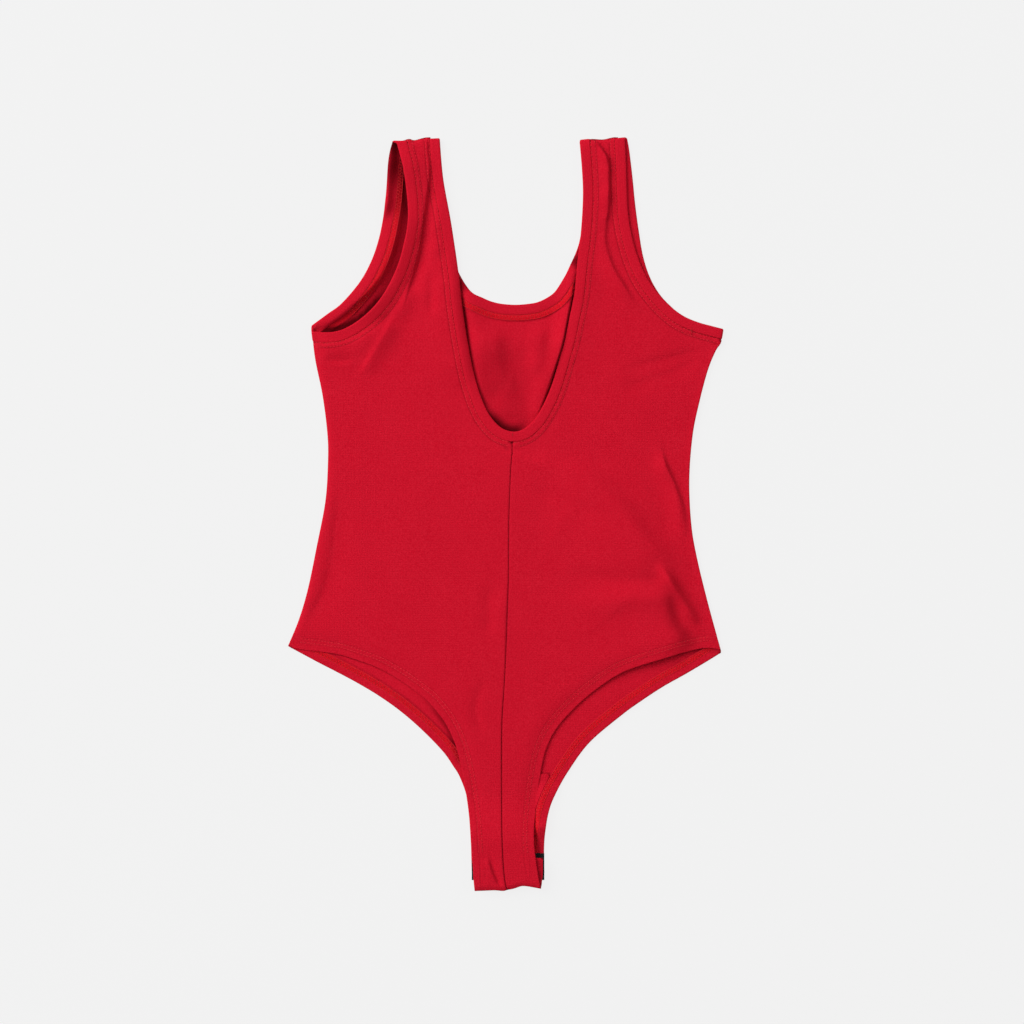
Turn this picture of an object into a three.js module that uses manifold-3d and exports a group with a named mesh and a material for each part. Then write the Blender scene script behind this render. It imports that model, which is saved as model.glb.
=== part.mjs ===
// A jersey bodysuit laid flat on a table, back up: a deep U back neck over a higher front neck, wide straps,
// high-cut legs, a centre-back seam and a crotch closed with snaps on black tape.
// Millimetres. X runs to the right of the view, Y towards the straps, Z up from the table at 0.
import * as THREE from "three";
import { mergeVertices } from "three/addons/utils/BufferGeometryUtils.js";
import Module from "manifold-3d";

const wasm = await Module();
wasm.setup();

// ---- Driving sizes ----
const CLOTH = 1.0; // wall of one layer of jersey
const GAP = 0.3; // room kept between two pieces at a seam
const BAND = { width: 9.5, thick: 2.2, corner: 0.6 }; // folded binding of the neck and armholes
const HEM = { width: 11, thick: 1.3, bite: 0.4, short: 6 }; // turned leg hem, and how far it stops from a corner
const TAPE = { thick: 1.0, deep: 19, left: -32, right: 37, shift: 0.2 }; // 3/4 inch snap tape, front and back
const SNAP = { count: 3, pitch: 19, first: -16.5, y: -334.5, radius: 4.6, disc: 1.0, nub: 2.0, deep: 0.6, sides: 16 };
const HEIGHT = { top: 357.1, panel: 356, leftArm: 353.6, bottom: -357.5 }; // shoulder folds and bottom fold
const SHOULDER = { start: 344, reach: 8 }; // where the back comes down on the front at the shoulder seam
const FRONT_END = -341; // where the front panel ends, inside the crotch
const LINING_TOP = -247; // upper seam of the crotch lining
const TAB = { end: -326, left: -31, right: 36.4, wall: 1.2, slant: 2.4, corner: 9 }; // the back's end, turned in
const LOFT = { seam: 1.3, body: 3.1, band: 3.6, ramp: 14 }; // height of the back's underside over the table
const CLEAR = { band: 2.6, beyond: 4, hem: 4.2, blend: 12 }; // the back's underside over a band, and over a hem
const CROTCH = { start: -262, full: -316, lift: 6.0, drop: -347, dip: 3.3 }; // rise of the back over the snaps
const HEM_STOP = -316; // the back's hems are pressed flat below this
const FOLD_ROWS = [-344, -347, -350, -353, -356, 344, 348, 352]; // closer rows where the back turns down
const PITCH = { front: 34, back: 19 }; // grid of the panels' surfaces
const STEP_LEAST = 2; // two points of a run or grid are never closer than this
const SIDE_SEAM = { left: -183, right: 204.5 }; // the side seams' ends, under the armhole bands
const TURN_STEPS = 5; // parts of the half turn of a band round a fold

// ---- Finished edges, from the shoulder down ----
const NECK_FRONT = [
  { at: "left shoulder", x: -62.8, y: 355 },
  { at: "left strap", x: -62.2, y: 325 },
  { at: "left strap, low", x: -58, y: 285 },
  { at: "under the back strap", x: -49.5, y: 242 },
  { at: "left turn", x: -35, y: 213.5 },
  { at: "left of centre", x: -14, y: 202 },
  { at: "centre front", x: 8, y: 198.5 },
  { at: "right of centre", x: 29, y: 200.6 },
  { at: "right turn", x: 47, y: 211 },
  { at: "right rise", x: 59.5, y: 232 },
  { at: "under the back strap", x: 70.5, y: 260 },
  { at: "right strap", x: 74.8, y: 305 },
  { at: "right shoulder", x: 70.8, y: 355 },
];
const NECK_BACK = [
  { at: "left shoulder", x: -62.3, y: 355 },
  { at: "left strap", x: -59, y: 318 },
  { at: "left strap, low", x: -51.5, y: 276 },
  { at: "left junction", x: -44, y: 226 },
  { at: "left side", x: -39, y: 180 },
  { at: "left side, low", x: -31, y: 138 },
  { at: "left bend", x: -18.5, y: 99.5 },
  { at: "left of the base", x: -5, y: 82.3 },
  { at: "base of the U", x: 7.5, y: 78 },
  { at: "right of the base", x: 22, y: 84 },
  { at: "right bend", x: 37, y: 105.5 },
  { at: "right side, low", x: 49.5, y: 141 },
  { at: "right side", x: 60, y: 181 },
  { at: "right junction", x: 68, y: 240 },
  { at: "right strap, low", x: 72.8, y: 285 },
  { at: "right strap", x: 72.6, y: 325 },
  { at: "right shoulder", x: 70, y: 355 },
];
const ARM_FRONT_LEFT = [
  { at: "shoulder", x: -107.5, y: 353 },
  { at: "strap", x: -112, y: 320 },
  { at: "strap, low", x: -116.3, y: 280 },
  { at: "turn", x: -127.2, y: 240 },
  { at: "armhole", x: -145.7, y: 210 },
  { at: "underarm", x: -184, y: 178.5 },
];
const ARM_BACK_LEFT = [
  { at: "shoulder", x: -103.5, y: 353 },
  { at: "strap", x: -95, y: 315 },
  { at: "strap, low", x: -92.6, y: 280 },
  { at: "turn", x: -99.5, y: 243 },
  { at: "armhole", x: -117, y: 206 },
  { at: "armhole, low", x: -145, y: 179.5 },
  { at: "underarm", x: -184, y: 173.5 },
];
const ARM_FRONT_RIGHT = [
  { at: "shoulder", x: 115.6, y: 354 },
  { at: "strap", x: 120.6, y: 320 },
  { at: "strap, low", x: 125, y: 280 },
  { at: "turn", x: 131.7, y: 240 },
  { at: "armhole", x: 146, y: 209 },
  { at: "armhole, low", x: 170, y: 186 },
  { at: "underarm", x: 206.5, y: 174.5 },
];
const ARM_BACK_RIGHT = [
  { at: "shoulder", x: 113.2, y: 354 },
  { at: "strap", x: 115, y: 315 },
  { at: "strap, low", x: 117.2, y: 282 },
  { at: "turn", x: 127, y: 240 },
  { at: "armhole", x: 147, y: 206.5 },
  { at: "armhole, low", x: 171, y: 187 },
  { at: "underarm", x: 206.5, y: 175.5 },
];
const SIDE_LEFT = [
  { at: "underarm", x: -184, y: 176 },
  { at: "bust", x: -180.7, y: 147 },
  { at: "rib", x: -173.6, y: 112 },
  { at: "above the waist", x: -169, y: 75 },
  { at: "waist", x: -168.6, y: 48 },
  { at: "below the waist", x: -171, y: 12 },
  { at: "high hip", x: -179, y: -30 },
  { at: "hip", x: -187.5, y: -71 },
  { at: "low hip", x: -196, y: -100 },
  { at: "hip corner", x: -206.5, y: -124.5 },
];
const SIDE_RIGHT = [
  { at: "underarm", x: 206.5, y: 174 },
  { at: "under the corner", x: 202, y: 158 },
  { at: "bust", x: 192, y: 136 },
  { at: "rib", x: 183.8, y: 105 },
  { at: "above the waist", x: 177.6, y: 74 },
  { at: "waist", x: 174.5, y: 32 },
  { at: "below the waist", x: 176.4, y: -10 },
  { at: "high hip", x: 181.8, y: -42 },
  { at: "hip", x: 192, y: -84 },
  { at: "hip corner", x: 205, y: -131.5 },
];
const LEG_FRONT_LEFT = [
  { at: "hip corner", x: -206.5, y: -125.5 },
  { at: "outer leg", x: -160, y: -150.3 },
  { at: "mid leg", x: -120, y: -173 },
  { at: "inner leg", x: -80, y: -204.5 },
  { at: "bend", x: -50, y: -239 },
  { at: "crotch", x: -36.3, y: -271 },
  { at: "crotch side", x: -33, y: -305 },
  { at: "end", x: -32, y: FRONT_END },
];
const LEG_FRONT_RIGHT = [
  { at: "hip corner", x: 205, y: -132 },
  { at: "outer leg", x: 160, y: -158.3 },
  { at: "mid leg", x: 120, y: -184 },
  { at: "inner leg", x: 90, y: -207 },
  { at: "bend", x: 60, y: -244 },
  { at: "crotch", x: 43, y: -277 },
  { at: "crotch side", x: 37, y: -306 },
  { at: "end", x: 37, y: FRONT_END },
];
const LEG_BACK_LEFT = [
  { at: "hip corner", x: -203.5, y: -127.5 },
  { at: "outer leg", x: -160, y: -133.5 },
  { at: "mid leg", x: -110, y: -152 },
  { at: "inner leg", x: -70, y: -182 },
  { at: "bend", x: -48.3, y: -217 },
  { at: "crotch", x: -38.3, y: -261 },
  { at: "crotch side", x: -33.5, y: -300 },
  { at: "fold", x: -29.5, y: HEIGHT.bottom },
];
const LEG_BACK_RIGHT = [
  { at: "hip corner", x: 203.5, y: -129.5 },
  { at: "under the corner", x: 188, y: -128 },
  { at: "outer leg", x: 155, y: -135.8 },
  { at: "mid leg", x: 110, y: -151 },
  { at: "inner leg", x: 70, y: -180 },
  { at: "bend", x: 42, y: -215 },
  { at: "crotch", x: 31.5, y: -258 },
  { at: "crotch side", x: 27.2, y: -303 },
  { at: "fold", x: 33.5, y: HEIGHT.bottom },
];
const CENTRE_BACK = [
  { at: "neck", x: 6.8, y: 80 },
  { at: "waist", x: 3.6, y: -10 },
  { at: "hip", x: 2.4, y: -90 },
  { at: "seat", x: -0.8, y: -160 },
  { at: "low seat", x: -3.6, y: -225 },
  { at: "crotch", x: -3.4, y: -295 },
  { at: "fold", x: 0, y: HEIGHT.bottom },
];

// ---- Folds: a soft ridge (+) or trough (-) along a short line of points, half width and height given ----
const BACK_FOLDS = [
  { at: "right hip, long", along: [[53, 46], [107, 15], [133, -19], [175, -65]], wide: 9, high: -1.5 },
  { at: "right hip, upper", along: [[155, -58], [181, -97]], wide: 9, high: -1.8 },
  { at: "right hip, lower", along: [[154, -82], [160, -108], [176, -120]], wide: 9, high: -1.8 },
  { at: "right hip, ridge", along: [[160, -74], [187, -114]], wide: 9, high: 2.4 },
  { at: "right waist", along: [[153, 66], [160, 30], [172, -12]], wide: 8, high: 2.6 },
  { at: "right strap", along: [[90, 346], [99, 326], [98, 262], [118, 215], [155, 186]], wide: 8, high: -1.7 },
  { at: "right strap, ridge", along: [[92, 310], [90, 250]], wide: 8, high: 2.4 },
  { at: "left strap", along: [[-74, 303], [-79, 250], [-90, 212], [-98, 180]], wide: 8, high: -1.7 },
  { at: "left strap, ridge", along: [[-69, 285], [-68, 235]], wide: 8, high: 2.0 },
  { at: "left strap, opened", along: [[-98, 340], [-95, 300], [-98, 262]], wide: 13, high: 2.0 },
  { at: "left underarm", along: [[-172, 149], [-138, 149], [-98, 168]], wide: 10, high: -1.5 },
  { at: "left underarm, ridge", along: [[-140, 128], [-100, 190]], wide: 9, high: 1.8 },
  { at: "left hip", along: [[-158, 24], [-163, -34], [-184, -97]], wide: 12, high: -1.4 },
  { at: "neck, left edge", along: [[-44, 232], [-41, 190], [-33, 145]], wide: 15, high: 2.4 },
  { at: "neck, right edge", along: [[68, 238], [61, 188], [50, 142], [36, 106]], wide: 15, high: 2.4 },
];
const FRONT_FOLDS = [
  { at: "right of the window", along: [[28, 176], [29, 122]], wide: 13, high: 2.0 },
  { at: "left of the window", along: [[-25, 176], [-20, 140]], wide: 11, high: 1.8 },
];

// ---- Plane helpers ----
const smooth = (t) => THREE.MathUtils.smoothstep(t, 0, 1);
const run = (rows, steps) =>
  new THREE.SplineCurve(rows.map((r) => new THREE.Vector2(r.x, r.y))).getSpacedPoints(steps);

// Distance from (x, y) to a run of points.
function distanceTo(line, x, y) {
  let best = Infinity;
  for (let i = 1; i < line.length; i++) {
    const dx = line[i].x - line[i - 1].x;
    const dy = line[i].y - line[i - 1].y;
    const px = x - line[i - 1].x;
    const py = y - line[i - 1].y;
    const t = THREE.MathUtils.clamp((px * dx + py * dy) / (dx * dx + dy * dy), 0, 1);
    best = Math.min(best, Math.hypot(px - t * dx, py - t * dy));
  }
  return best;
}

// Unit direction of a run at one of its points.
function directionAt(line, i) {
  const before = line[Math.max(i - 1, 0)];
  const after = line[Math.min(i + 1, line.length - 1)];
  return after.clone().sub(before).normalize();
}

// ---- Height of the cloth over the table ----
const SIDE = { left: run(SIDE_LEFT, 18), right: run(SIDE_RIGHT, 18) };
const ARM = {
  frontLeft: run(ARM_FRONT_LEFT, 20),
  frontRight: run(ARM_FRONT_RIGHT, 20),
  backLeft: run(ARM_BACK_LEFT, 22),
  backRight: run(ARM_BACK_RIGHT, 22),
};
const LEG = {
  frontLeft: run(LEG_FRONT_LEFT, 20),
  frontRight: run(LEG_FRONT_RIGHT, 20),
  backLeft: run(LEG_BACK_LEFT, 22),
  backRight: run(LEG_BACK_RIGHT, 22),
};
const NECK = { front: run(NECK_FRONT, 32), back: run(NECK_BACK, 42) };

function foldHeight(folds, x, y) {
  return folds.reduce((sum, fold) => {
    const line = fold.along.map(([px, py]) => ({ x: px, y: py }));
    return sum + fold.high * Math.exp(-((distanceTo(line, x, y) / fold.wide) ** 2));
  }, 0);
}

// Underside of the front layer: on the table, but for the folds that stand in the neck opening.
const FADE = 0.12; // a fold lower than this lies flat
const frontUnder = (x, y) => Math.max(foldHeight(FRONT_FOLDS, x, y) - FADE, 0);

// How far the snaps and tapes lift the back layer, and how it comes down again to its bottom fold.
function crotchLift(y) {
  const rise = smooth((CROTCH.start - y) / (CROTCH.start - CROTCH.full));
  const fall = smooth((CROTCH.drop - y) / (CROTCH.drop - HEIGHT.bottom));
  return CROTCH.lift * rise - CROTCH.dip * fall;
}

// Lifts a height to a least value near some runs.
function liftedNear(lines, reach, least, height, x, y) {
  const away = Math.min(...lines.map((line) => distanceTo(line, x, y)));
  return height + Math.max(0, least - height) * (1 - smooth((away - reach) / CLEAR.blend));
}

// Underside of the back layer.
function backUnder(x, y) {
  const spread = smooth(Math.min(distanceTo(SIDE.left, x, y), distanceTo(SIDE.right, x, y)) / LOFT.ramp);
  const loft = LOFT.seam + (LOFT.body - LOFT.seam + foldHeight(BACK_FOLDS, x, y)) * spread;
  const edges = [ARM.backLeft, ARM.backRight, NECK.back];
  return liftedNear(edges, BAND.width + CLEAR.beyond, CLEAR.band, Math.max(loft, LOFT.seam), x, y) + crotchLift(y);
}

// Underside of a back panel: higher over its leg hem, and down on the front at the shoulder seam.
function backPanelUnder(x, y) {
  const hemmed = liftedNear([LEG.backLeft, LEG.backRight], HEM.width, CLEAR.hem, backUnder(x, y), x, y);
  return THREE.MathUtils.lerp(hemmed, CLEAR.band, smooth((y - SHOULDER.start) / SHOULDER.reach));
}
const tabUnder = (x, y) => backUnder(x, y) - CLOTH - GAP;
const bandOnFront = () => BAND.thick / 2;
const bandOnBack = (x, y) => Math.max(backUnder(x, y) + CLOTH / 2, LOFT.band);

// ---- Solids ----
// A closed geometry as a solid, with its faces turned outwards.
function solid(geometry) {
  const bare = geometry.clone();
  bare.deleteAttribute("normal");
  bare.deleteAttribute("uv");
  const merged = mergeVertices(bare, 1e-4);
  const kept = [];
  const turned = [];
  for (let i = 0; i < merged.index.count; i += 3) {
    const [a, b, c] = merged.index.array.slice(i, i + 3);
    if (a === b || b === c || a === c) continue;
    kept.push(a, b, c);
    turned.push(a, c, b);
  }
  const built = (faces) =>
    new wasm.Manifold(
      new wasm.Mesh({
        numProp: 3,
        vertProperties: new Float32Array(merged.attributes.position.array),
        triVerts: new Uint32Array(faces),
      }),
    );
  const made = built(kept);
  return made.volume() > 0 ? made : built(turned);
}

function geometryOf(vertices, faces) {
  const geometry = new THREE.BufferGeometry();
  geometry.setAttribute("position", new THREE.Float32BufferAttribute(vertices.flat(), 3));
  geometry.setIndex(faces.flat());
  return geometry;
}

// An upright prism on an outline.
function prism(outline, low, high) {
  const geometry = new THREE.ExtrudeGeometry(new THREE.Shape(outline), { depth: high - low, bevelEnabled: false });
  geometry.translate(0, 0, low);
  return solid(geometry);
}

const oblong = (left, right, low, high) =>
  [[left, low], [right, low], [right, high], [left, high]].map(([x, y]) => new THREE.Vector2(x, y));

// Evenly spaced values, and those of a list of extra ones that lie among them.
function spaced(low, high, pitch, extra) {
  const count = Math.ceil((high - low) / pitch);
  const even = Array.from({ length: count + 1 }, (_, i) => low + ((high - low) * i) / count);
  const clear = even.filter((v) => extra.every((e) => Math.abs(v - e) > STEP_LEAST));
  return [...clear, ...extra.filter((e) => e > low && e < high)].sort((a, b) => a - b);
}

// A sheet of even thickness whose underside follows a height function, cut to an outline.
function sheet(outline, pitch, under, thick) {
  const box = new THREE.Box2().setFromPoints(outline).expandByScalar(pitch / 2);
  const xs = spaced(box.min.x, box.max.x, pitch, []);
  const ys = spaced(box.min.y, box.max.y, pitch, FOLD_ROWS);
  const columns = xs.length - 1;
  const rows = ys.length - 1;
  const layer = xs.length * ys.length;
  const vertices = [];
  const faces = [];
  for (const raised of [0, thick])
    for (const y of ys)
      for (const x of xs) vertices.push([x, y, under(x, y) + raised]);
  const index = (i, j) => j * (columns + 1) + i;
  const wall = (a, b) => faces.push([a, b, b + layer], [a, b + layer, a + layer]);
  for (let j = 0; j < rows; j++)
    for (let i = 0; i < columns; i++) {
      const [a, b, c, d] = [index(i, j), index(i + 1, j), index(i + 1, j + 1), index(i, j + 1)];
      faces.push([a, c, b], [a, d, c]);
      faces.push([a + layer, b + layer, c + layer], [a + layer, c + layer, d + layer]);
    }
  for (let i = 0; i < columns; i++) {
    wall(index(i, 0), index(i + 1, 0));
    wall(index(i + 1, rows), index(i, rows));
  }
  for (let j = 0; j < rows; j++) {
    wall(index(columns, j), index(columns, j + 1));
    wall(index(0, j + 1), index(0, j));
  }
  return solid(geometryOf(vertices, faces)).intersect(prism(outline, -HEIGHT.top, HEIGHT.top));
}

// A band or strip along stations. Each has its place, the direction of its width, and how far that is spread.
function ribbon(stations, width, thick, corner, closed) {
  const half = width / 2;
  const flat = half - corner;
  const high = thick / 2;
  const shy = high - corner;
  const section = [[-half, -shy], [-flat, -high], [flat, -high], [half, -shy]];
  section.push(...section.map(([u, v]) => [-u, -v]));
  const count = stations.length;
  const vertices = stations.flatMap(({ place, across, spread }, i) => {
    const before = stations[closed ? (i + count - 1) % count : Math.max(i - 1, 0)].place;
    const after = stations[closed ? (i + 1) % count : Math.min(i + 1, count - 1)].place;
    const up = after.clone().sub(before).cross(across).normalize();
    return section.map(([u, v]) => place.clone().addScaledVector(across, u * spread).addScaledVector(up, v).toArray());
  });
  const faces = [];
  const corners = section.length;
  for (let i = 0; i < (closed ? count : count - 1); i++)
    for (let k = 0; k < corners; k++) {
      const next = (k + 1) % corners;
      const [a, b] = [i * corners + k, i * corners + next];
      const [c, d] = [((i + 1) % count) * corners + next, ((i + 1) % count) * corners + k];
      faces.push([a, b, c], [a, c, d]);
    }
  const last = (count - 1) * corners;
  if (!closed)
    for (let k = 1; k < corners - 1; k++) faces.push([0, k + 1, k], [last, last + k, last + k + 1]);
  return solid(geometryOf(vertices, faces));
}

// Direction across a band from each point of its free edge, and how far its width is spread along it.
// The last points may swing to an end direction, where a side seam cuts the band at an angle.
function crossings(edge, inward, endAcross) {
  const end = edge.at(-1);
  return edge.map((p, i) => {
    const d = directionAt(edge, i);
    const normal = new THREE.Vector2(-d.y * inward, d.x * inward);
    const swing = endAcross ? 1 - smooth(p.distanceTo(end) / (2 * BAND.width)) : 0;
    const across = endAcross ? normal.clone().lerp(endAcross, swing).normalize() : normal.clone();
    return { across, spread: 1 / across.dot(normal) };
  });
}

// An edge moved in across its band.
function movedIn(edge, inward, distance, endAcross) {
  const across = crossings(edge, inward, endAcross);
  return edge.map((p, i) => p.clone().addScaledVector(across[i].across, across[i].spread * distance));
}

// Stations along the middle of a band whose free edge is given.
function stations(edge, inward, width, height, endAcross) {
  const ways = crossings(edge, inward, endAcross);
  return movedIn(edge, inward, width / 2, endAcross).map((p, i) => ({
    place: new THREE.Vector3(p.x, p.y, height(p.x, p.y)),
    across: new THREE.Vector3(ways[i].across.x, ways[i].across.y, 0),
    spread: ways[i].spread,
  }));
}

// Stations cut or lengthened straight on, at their start or end, so that they stop at a value of x or y.
function stoppedAt(stops, { axis, atEnd }, value) {
  const sign = Math.sign(value);
  const ordered = atEnd ? stops : [...stops].reverse();
  const kept = [...ordered];
  while (sign * kept.at(-1).place[axis] > sign * value - STEP_LEAST) kept.pop();
  const last = kept.at(-1).place;
  const step = last.clone().sub(kept.at(-2).place);
  const place = last.clone().addScaledVector(step, (value - last[axis]) / step[axis]);
  const all = [...kept, { ...ordered.at(-1), place }];
  return atEnd ? all : all.reverse();
}

// The front and back runs of a band, kept back from each fold so that its outer face lies on a line.
function betweenFolds(front, back, folds) {
  return folds.reduce(([below, above], fold) => {
    const pick = (stops) => (fold.atEnd ? stops.at(-1) : stops[0]);
    const rise = pick(above).place.z - pick(below).place.z;
    const value = fold.line - Math.sign(fold.line) * (rise / 2 + BAND.thick / 2);
    return [stoppedAt(below, fold, value), stoppedAt(above, fold, value)];
  }, [front, back]);
}

// The half turn that carries a band round a fold from one layer to the other.
function turn(from, to, outward) {
  const reach = Math.abs(to.place.z - from.place.z) / 2;
  return Array.from({ length: TURN_STEPS - 1 }, (_, k) => {
    const angle = (Math.PI * (k + 1)) / TURN_STEPS;
    const share = (1 - Math.cos(angle)) / 2;
    return {
      place: from.place.clone().lerp(to.place, share).addScaledVector(outward, reach * Math.sin(angle)),
      across: from.across.clone().lerp(to.across, share).normalize(),
      spread: THREE.MathUtils.lerp(from.spread, to.spread, share),
    };
  });
}

// A band that runs round an opening, over both layers and both folds.
function bandRing([front, back], firstTurn, secondTurn) {
  const returning = [...back].reverse();
  const stops = [
    ...front,
    ...turn(front.at(-1), returning[0], secondTurn),
    ...returning,
    ...turn(returning.at(-1), front[0], firstTurn),
  ];
  return ribbon(stops, BAND.width, BAND.thick, BAND.corner, true);
}

// ---- Bands ----
const UPWARD = new THREE.Vector3(0, 1, 0);
const UNDERARM = {
  left: { x: -184, across: new THREE.Vector2(0.1, -1).normalize() },
  right: { x: 206, across: new THREE.Vector2(-0.15, -1).normalize() },
};

const neckRuns = betweenFolds(
  stations(NECK.front, -1, BAND.width, bandOnFront),
  stations(NECK.back, -1, BAND.width, bandOnBack),
  [false, true].map((atEnd) => ({ axis: "y", line: HEIGHT.top, atEnd })),
);

function armholeRuns(front, back, inward, shoulder, underarm) {
  return betweenFolds(
    stations(front, inward, BAND.width, bandOnFront, underarm.across),
    stations(back, inward, BAND.width, bandOnBack, underarm.across),
    [
      { axis: "y", line: shoulder, atEnd: false },
      { axis: "x", line: underarm.x, atEnd: true },
    ],
  );
}
const leftRuns = armholeRuns(ARM.frontLeft, ARM.backLeft, 1, HEIGHT.leftArm, UNDERARM.left);
const rightRuns = armholeRuns(ARM.frontRight, ARM.backRight, -1, HEIGHT.top, UNDERARM.right);

// ---- Plan of the panels, inside the seams of their bands ----
// The seam line of a panel, a gap away from its band.
function seamOf(stops) {
  return stops.map(({ place, across, spread }) => {
    const away = spread * (BAND.width / 2 + GAP);
    return new THREE.Vector2(place.x + across.x * away, place.y + across.y * away);
  });
}

// A seam lengthened straight on to the shoulder line, at its start.
function shouldered(line) {
  const step = line[0].clone().sub(line[1]);
  return [line[0].clone().addScaledVector(step, (HEIGHT.panel - line[0].y) / step.y), ...line];
}

// An armhole seam from the shoulder line to the side seam.
const armSeam = (stops, sideX) => {
  const line = shouldered(seamOf(stops));
  return [...line, new THREE.Vector2(sideX, line.at(-1).y - 2 * GAP)];
};
const neckSeam = {
  front: shouldered(shouldered(seamOf(neckRuns[0])).reverse()).reverse(),
  back: shouldered(shouldered(seamOf(neckRuns[1])).reverse()).reverse(),
};
const armSeams = {
  frontLeft: armSeam(leftRuns[0], SIDE_SEAM.left),
  backLeft: armSeam(leftRuns[1], SIDE_SEAM.left),
  frontRight: armSeam(rightRuns[0], SIDE_SEAM.right),
  backRight: armSeam(rightRuns[1], SIDE_SEAM.right),
};
const sideBelow = (side, seam) => side.filter((p) => p.y < seam.at(-1).y - STEP_LEAST);

function frontPlan() {
  return [
    ...armSeams.frontLeft,
    ...sideBelow(SIDE.left, armSeams.frontLeft),
    ...LEG.frontLeft.slice(1),
    ...[...LEG.frontRight.slice(1)].reverse(),
    ...sideBelow(SIDE.right, armSeams.frontRight).reverse(),
    ...[...armSeams.frontRight].reverse(),
    ...[...neckSeam.front].reverse(),
  ];
}

function backPlan(sign) {
  const left = sign < 0;
  const [arm, side, leg] = left
    ? [armSeams.backLeft, SIDE.left, LEG.backLeft]
    : [armSeams.backRight, SIDE.right, LEG.backRight];
  const seam = run(CENTRE_BACK, 16).map((p) => new THREE.Vector2(p.x + (sign * GAP) / 2, p.y));
  const neckHalf = neckSeam.back.filter((p) => sign * (p.x - CENTRE_BACK[0].x) > CLOTH);
  const base = Math.min(...neckSeam.back.map((p) => p.y));
  return [
    ...(left ? neckHalf : neckHalf.reverse()),
    new THREE.Vector2(CENTRE_BACK[0].x + (sign * GAP) / 2, base),
    ...seam.filter((p) => p.y < base - BAND.width),
    ...[...leg].reverse(),
    ...sideBelow(side, arm).filter((p) => p.y > leg[0].y + STEP_LEAST).reverse(),
    ...[...arm].reverse(),
  ];
}

// ---- Panels ----
// A turned hem along a leg edge, which bites into the panel that it belongs to.
function hem(edge, inward, height, keep) {
  const stops = stations(edge, inward, HEM.width, height).filter((s) => keep(s.place));
  return ribbon(stops, HEM.width - GAP, HEM.thick + HEM.bite, GAP, false);
}
const awayFromCorner = (edge) => (place) => Math.abs(place.x - edge[0].x) > HEM.short;

function frontPanel() {
  const above = () => CLOTH + (HEM.thick - HEM.bite) / 2;
  return sheet(frontPlan(), PITCH.front, frontUnder, CLOTH)
    .add(hem(LEG.frontLeft, 1, above, awayFromCorner(LEG.frontLeft)))
    .add(hem(LEG.frontRight, -1, above, awayFromCorner(LEG.frontRight)));
}

// One half of the back, with its half of the tab that turns up inside the crotch.
function backPanel(sign) {
  const left = sign < 0;
  const edge = left ? LEG.backLeft : LEG.backRight;
  const beneath = (x, y) => backPanelUnder(x, y) - (HEM.thick - HEM.bite) / 2;
  const hemmed = (place) => awayFromCorner(edge)(place) && place.y > HEM_STOP;
  const centre = (sign * GAP) / 2;
  const foldEdge = left ? LEG.backLeft.at(-1).x : LEG.backRight.at(-1).x;
  const outer = left ? TAB.left : TAB.right;
  const fold = HEIGHT.bottom;
  const top = [[centre - TAB.slant, TAB.end], [outer, TAB.end]];
  const tab = [[centre, fold], ...top, [outer, fold + TAB.corner], [foldEdge, fold]];
  const wall = oblong(Math.min(centre, foldEdge), Math.max(centre, foldEdge), fold, fold + TAB.wall);
  const low = tabUnder(0, fold);
  const plan = tab.map(([x, y]) => new THREE.Vector2(x, y));
  return sheet(backPlan(sign), PITCH.back, backPanelUnder, CLOTH)
    .add(hem(edge, -sign, beneath, hemmed))
    .add(sheet(plan, PITCH.back, tabUnder, CLOTH))
    .add(prism(wall, low, low + 2 * CLOTH + GAP));
}

// ---- Crotch ----
const STACK = { lining: CLOTH + GAP };
STACK.frontTape = CLOTH + HEM.thick + GAP;
STACK.socket = STACK.frontTape + TAPE.thick + GAP;
STACK.stud = STACK.socket + SNAP.disc + GAP;
STACK.backTape = STACK.stud + SNAP.disc + GAP;

function liningPlan() {
  const inset = HEM.width + GAP;
  const within = (p) => p.y < LINING_TOP && p.y > FRONT_END + STEP_LEAST;
  const left = movedIn(LEG.frontLeft, 1, inset).filter(within);
  const right = movedIn(LEG.frontRight, -1, inset).filter(within);
  const topLeft = new THREE.Vector2(left[0].x, LINING_TOP);
  const topRight = new THREE.Vector2(right[0].x, LINING_TOP);
  return [topLeft, ...left, ...right.reverse(), topRight];
}

// A length of snap tape, from its lower edge up.
function tape(low, z, shift) {
  return prism(oblong(TAPE.left + shift, TAPE.right + shift, low, low + TAPE.deep), z, z + TAPE.thick);
}

// A turned disc with a nub that stands down from it, or with the recess that takes the nub.
function snapHalf(withNub) {
  const { radius, disc, nub, deep } = SNAP;
  const studProfile = [[0, -deep], [nub, -deep], [nub, 0], [radius, 0], [radius, disc], [0, disc]];
  const hole = nub + GAP;
  const socketProfile = [[0, 0], [radius, 0], [radius, disc], [hole, disc], [hole, disc - deep], [0, disc - deep]];
  const profile = (withNub ? studProfile : socketProfile).map(([r, z]) => new THREE.Vector2(r, z));
  const turned = new THREE.LatheGeometry(profile, SNAP.sides);
  return turned.rotateX(Math.PI / 2);
}

// ---- The garment ----
const CLOTH_RED = new THREE.MeshStandardMaterial({ color: 0xc8182b, roughness: 0.92, metalness: 0 });
const TAPE_BLACK = new THREE.MeshStandardMaterial({ color: 0x08080a, roughness: 0.9, metalness: 0 });
const SNAP_BLACK = new THREE.MeshStandardMaterial({ color: 0x121214, roughness: 0.35, metalness: 0.6 });

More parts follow.
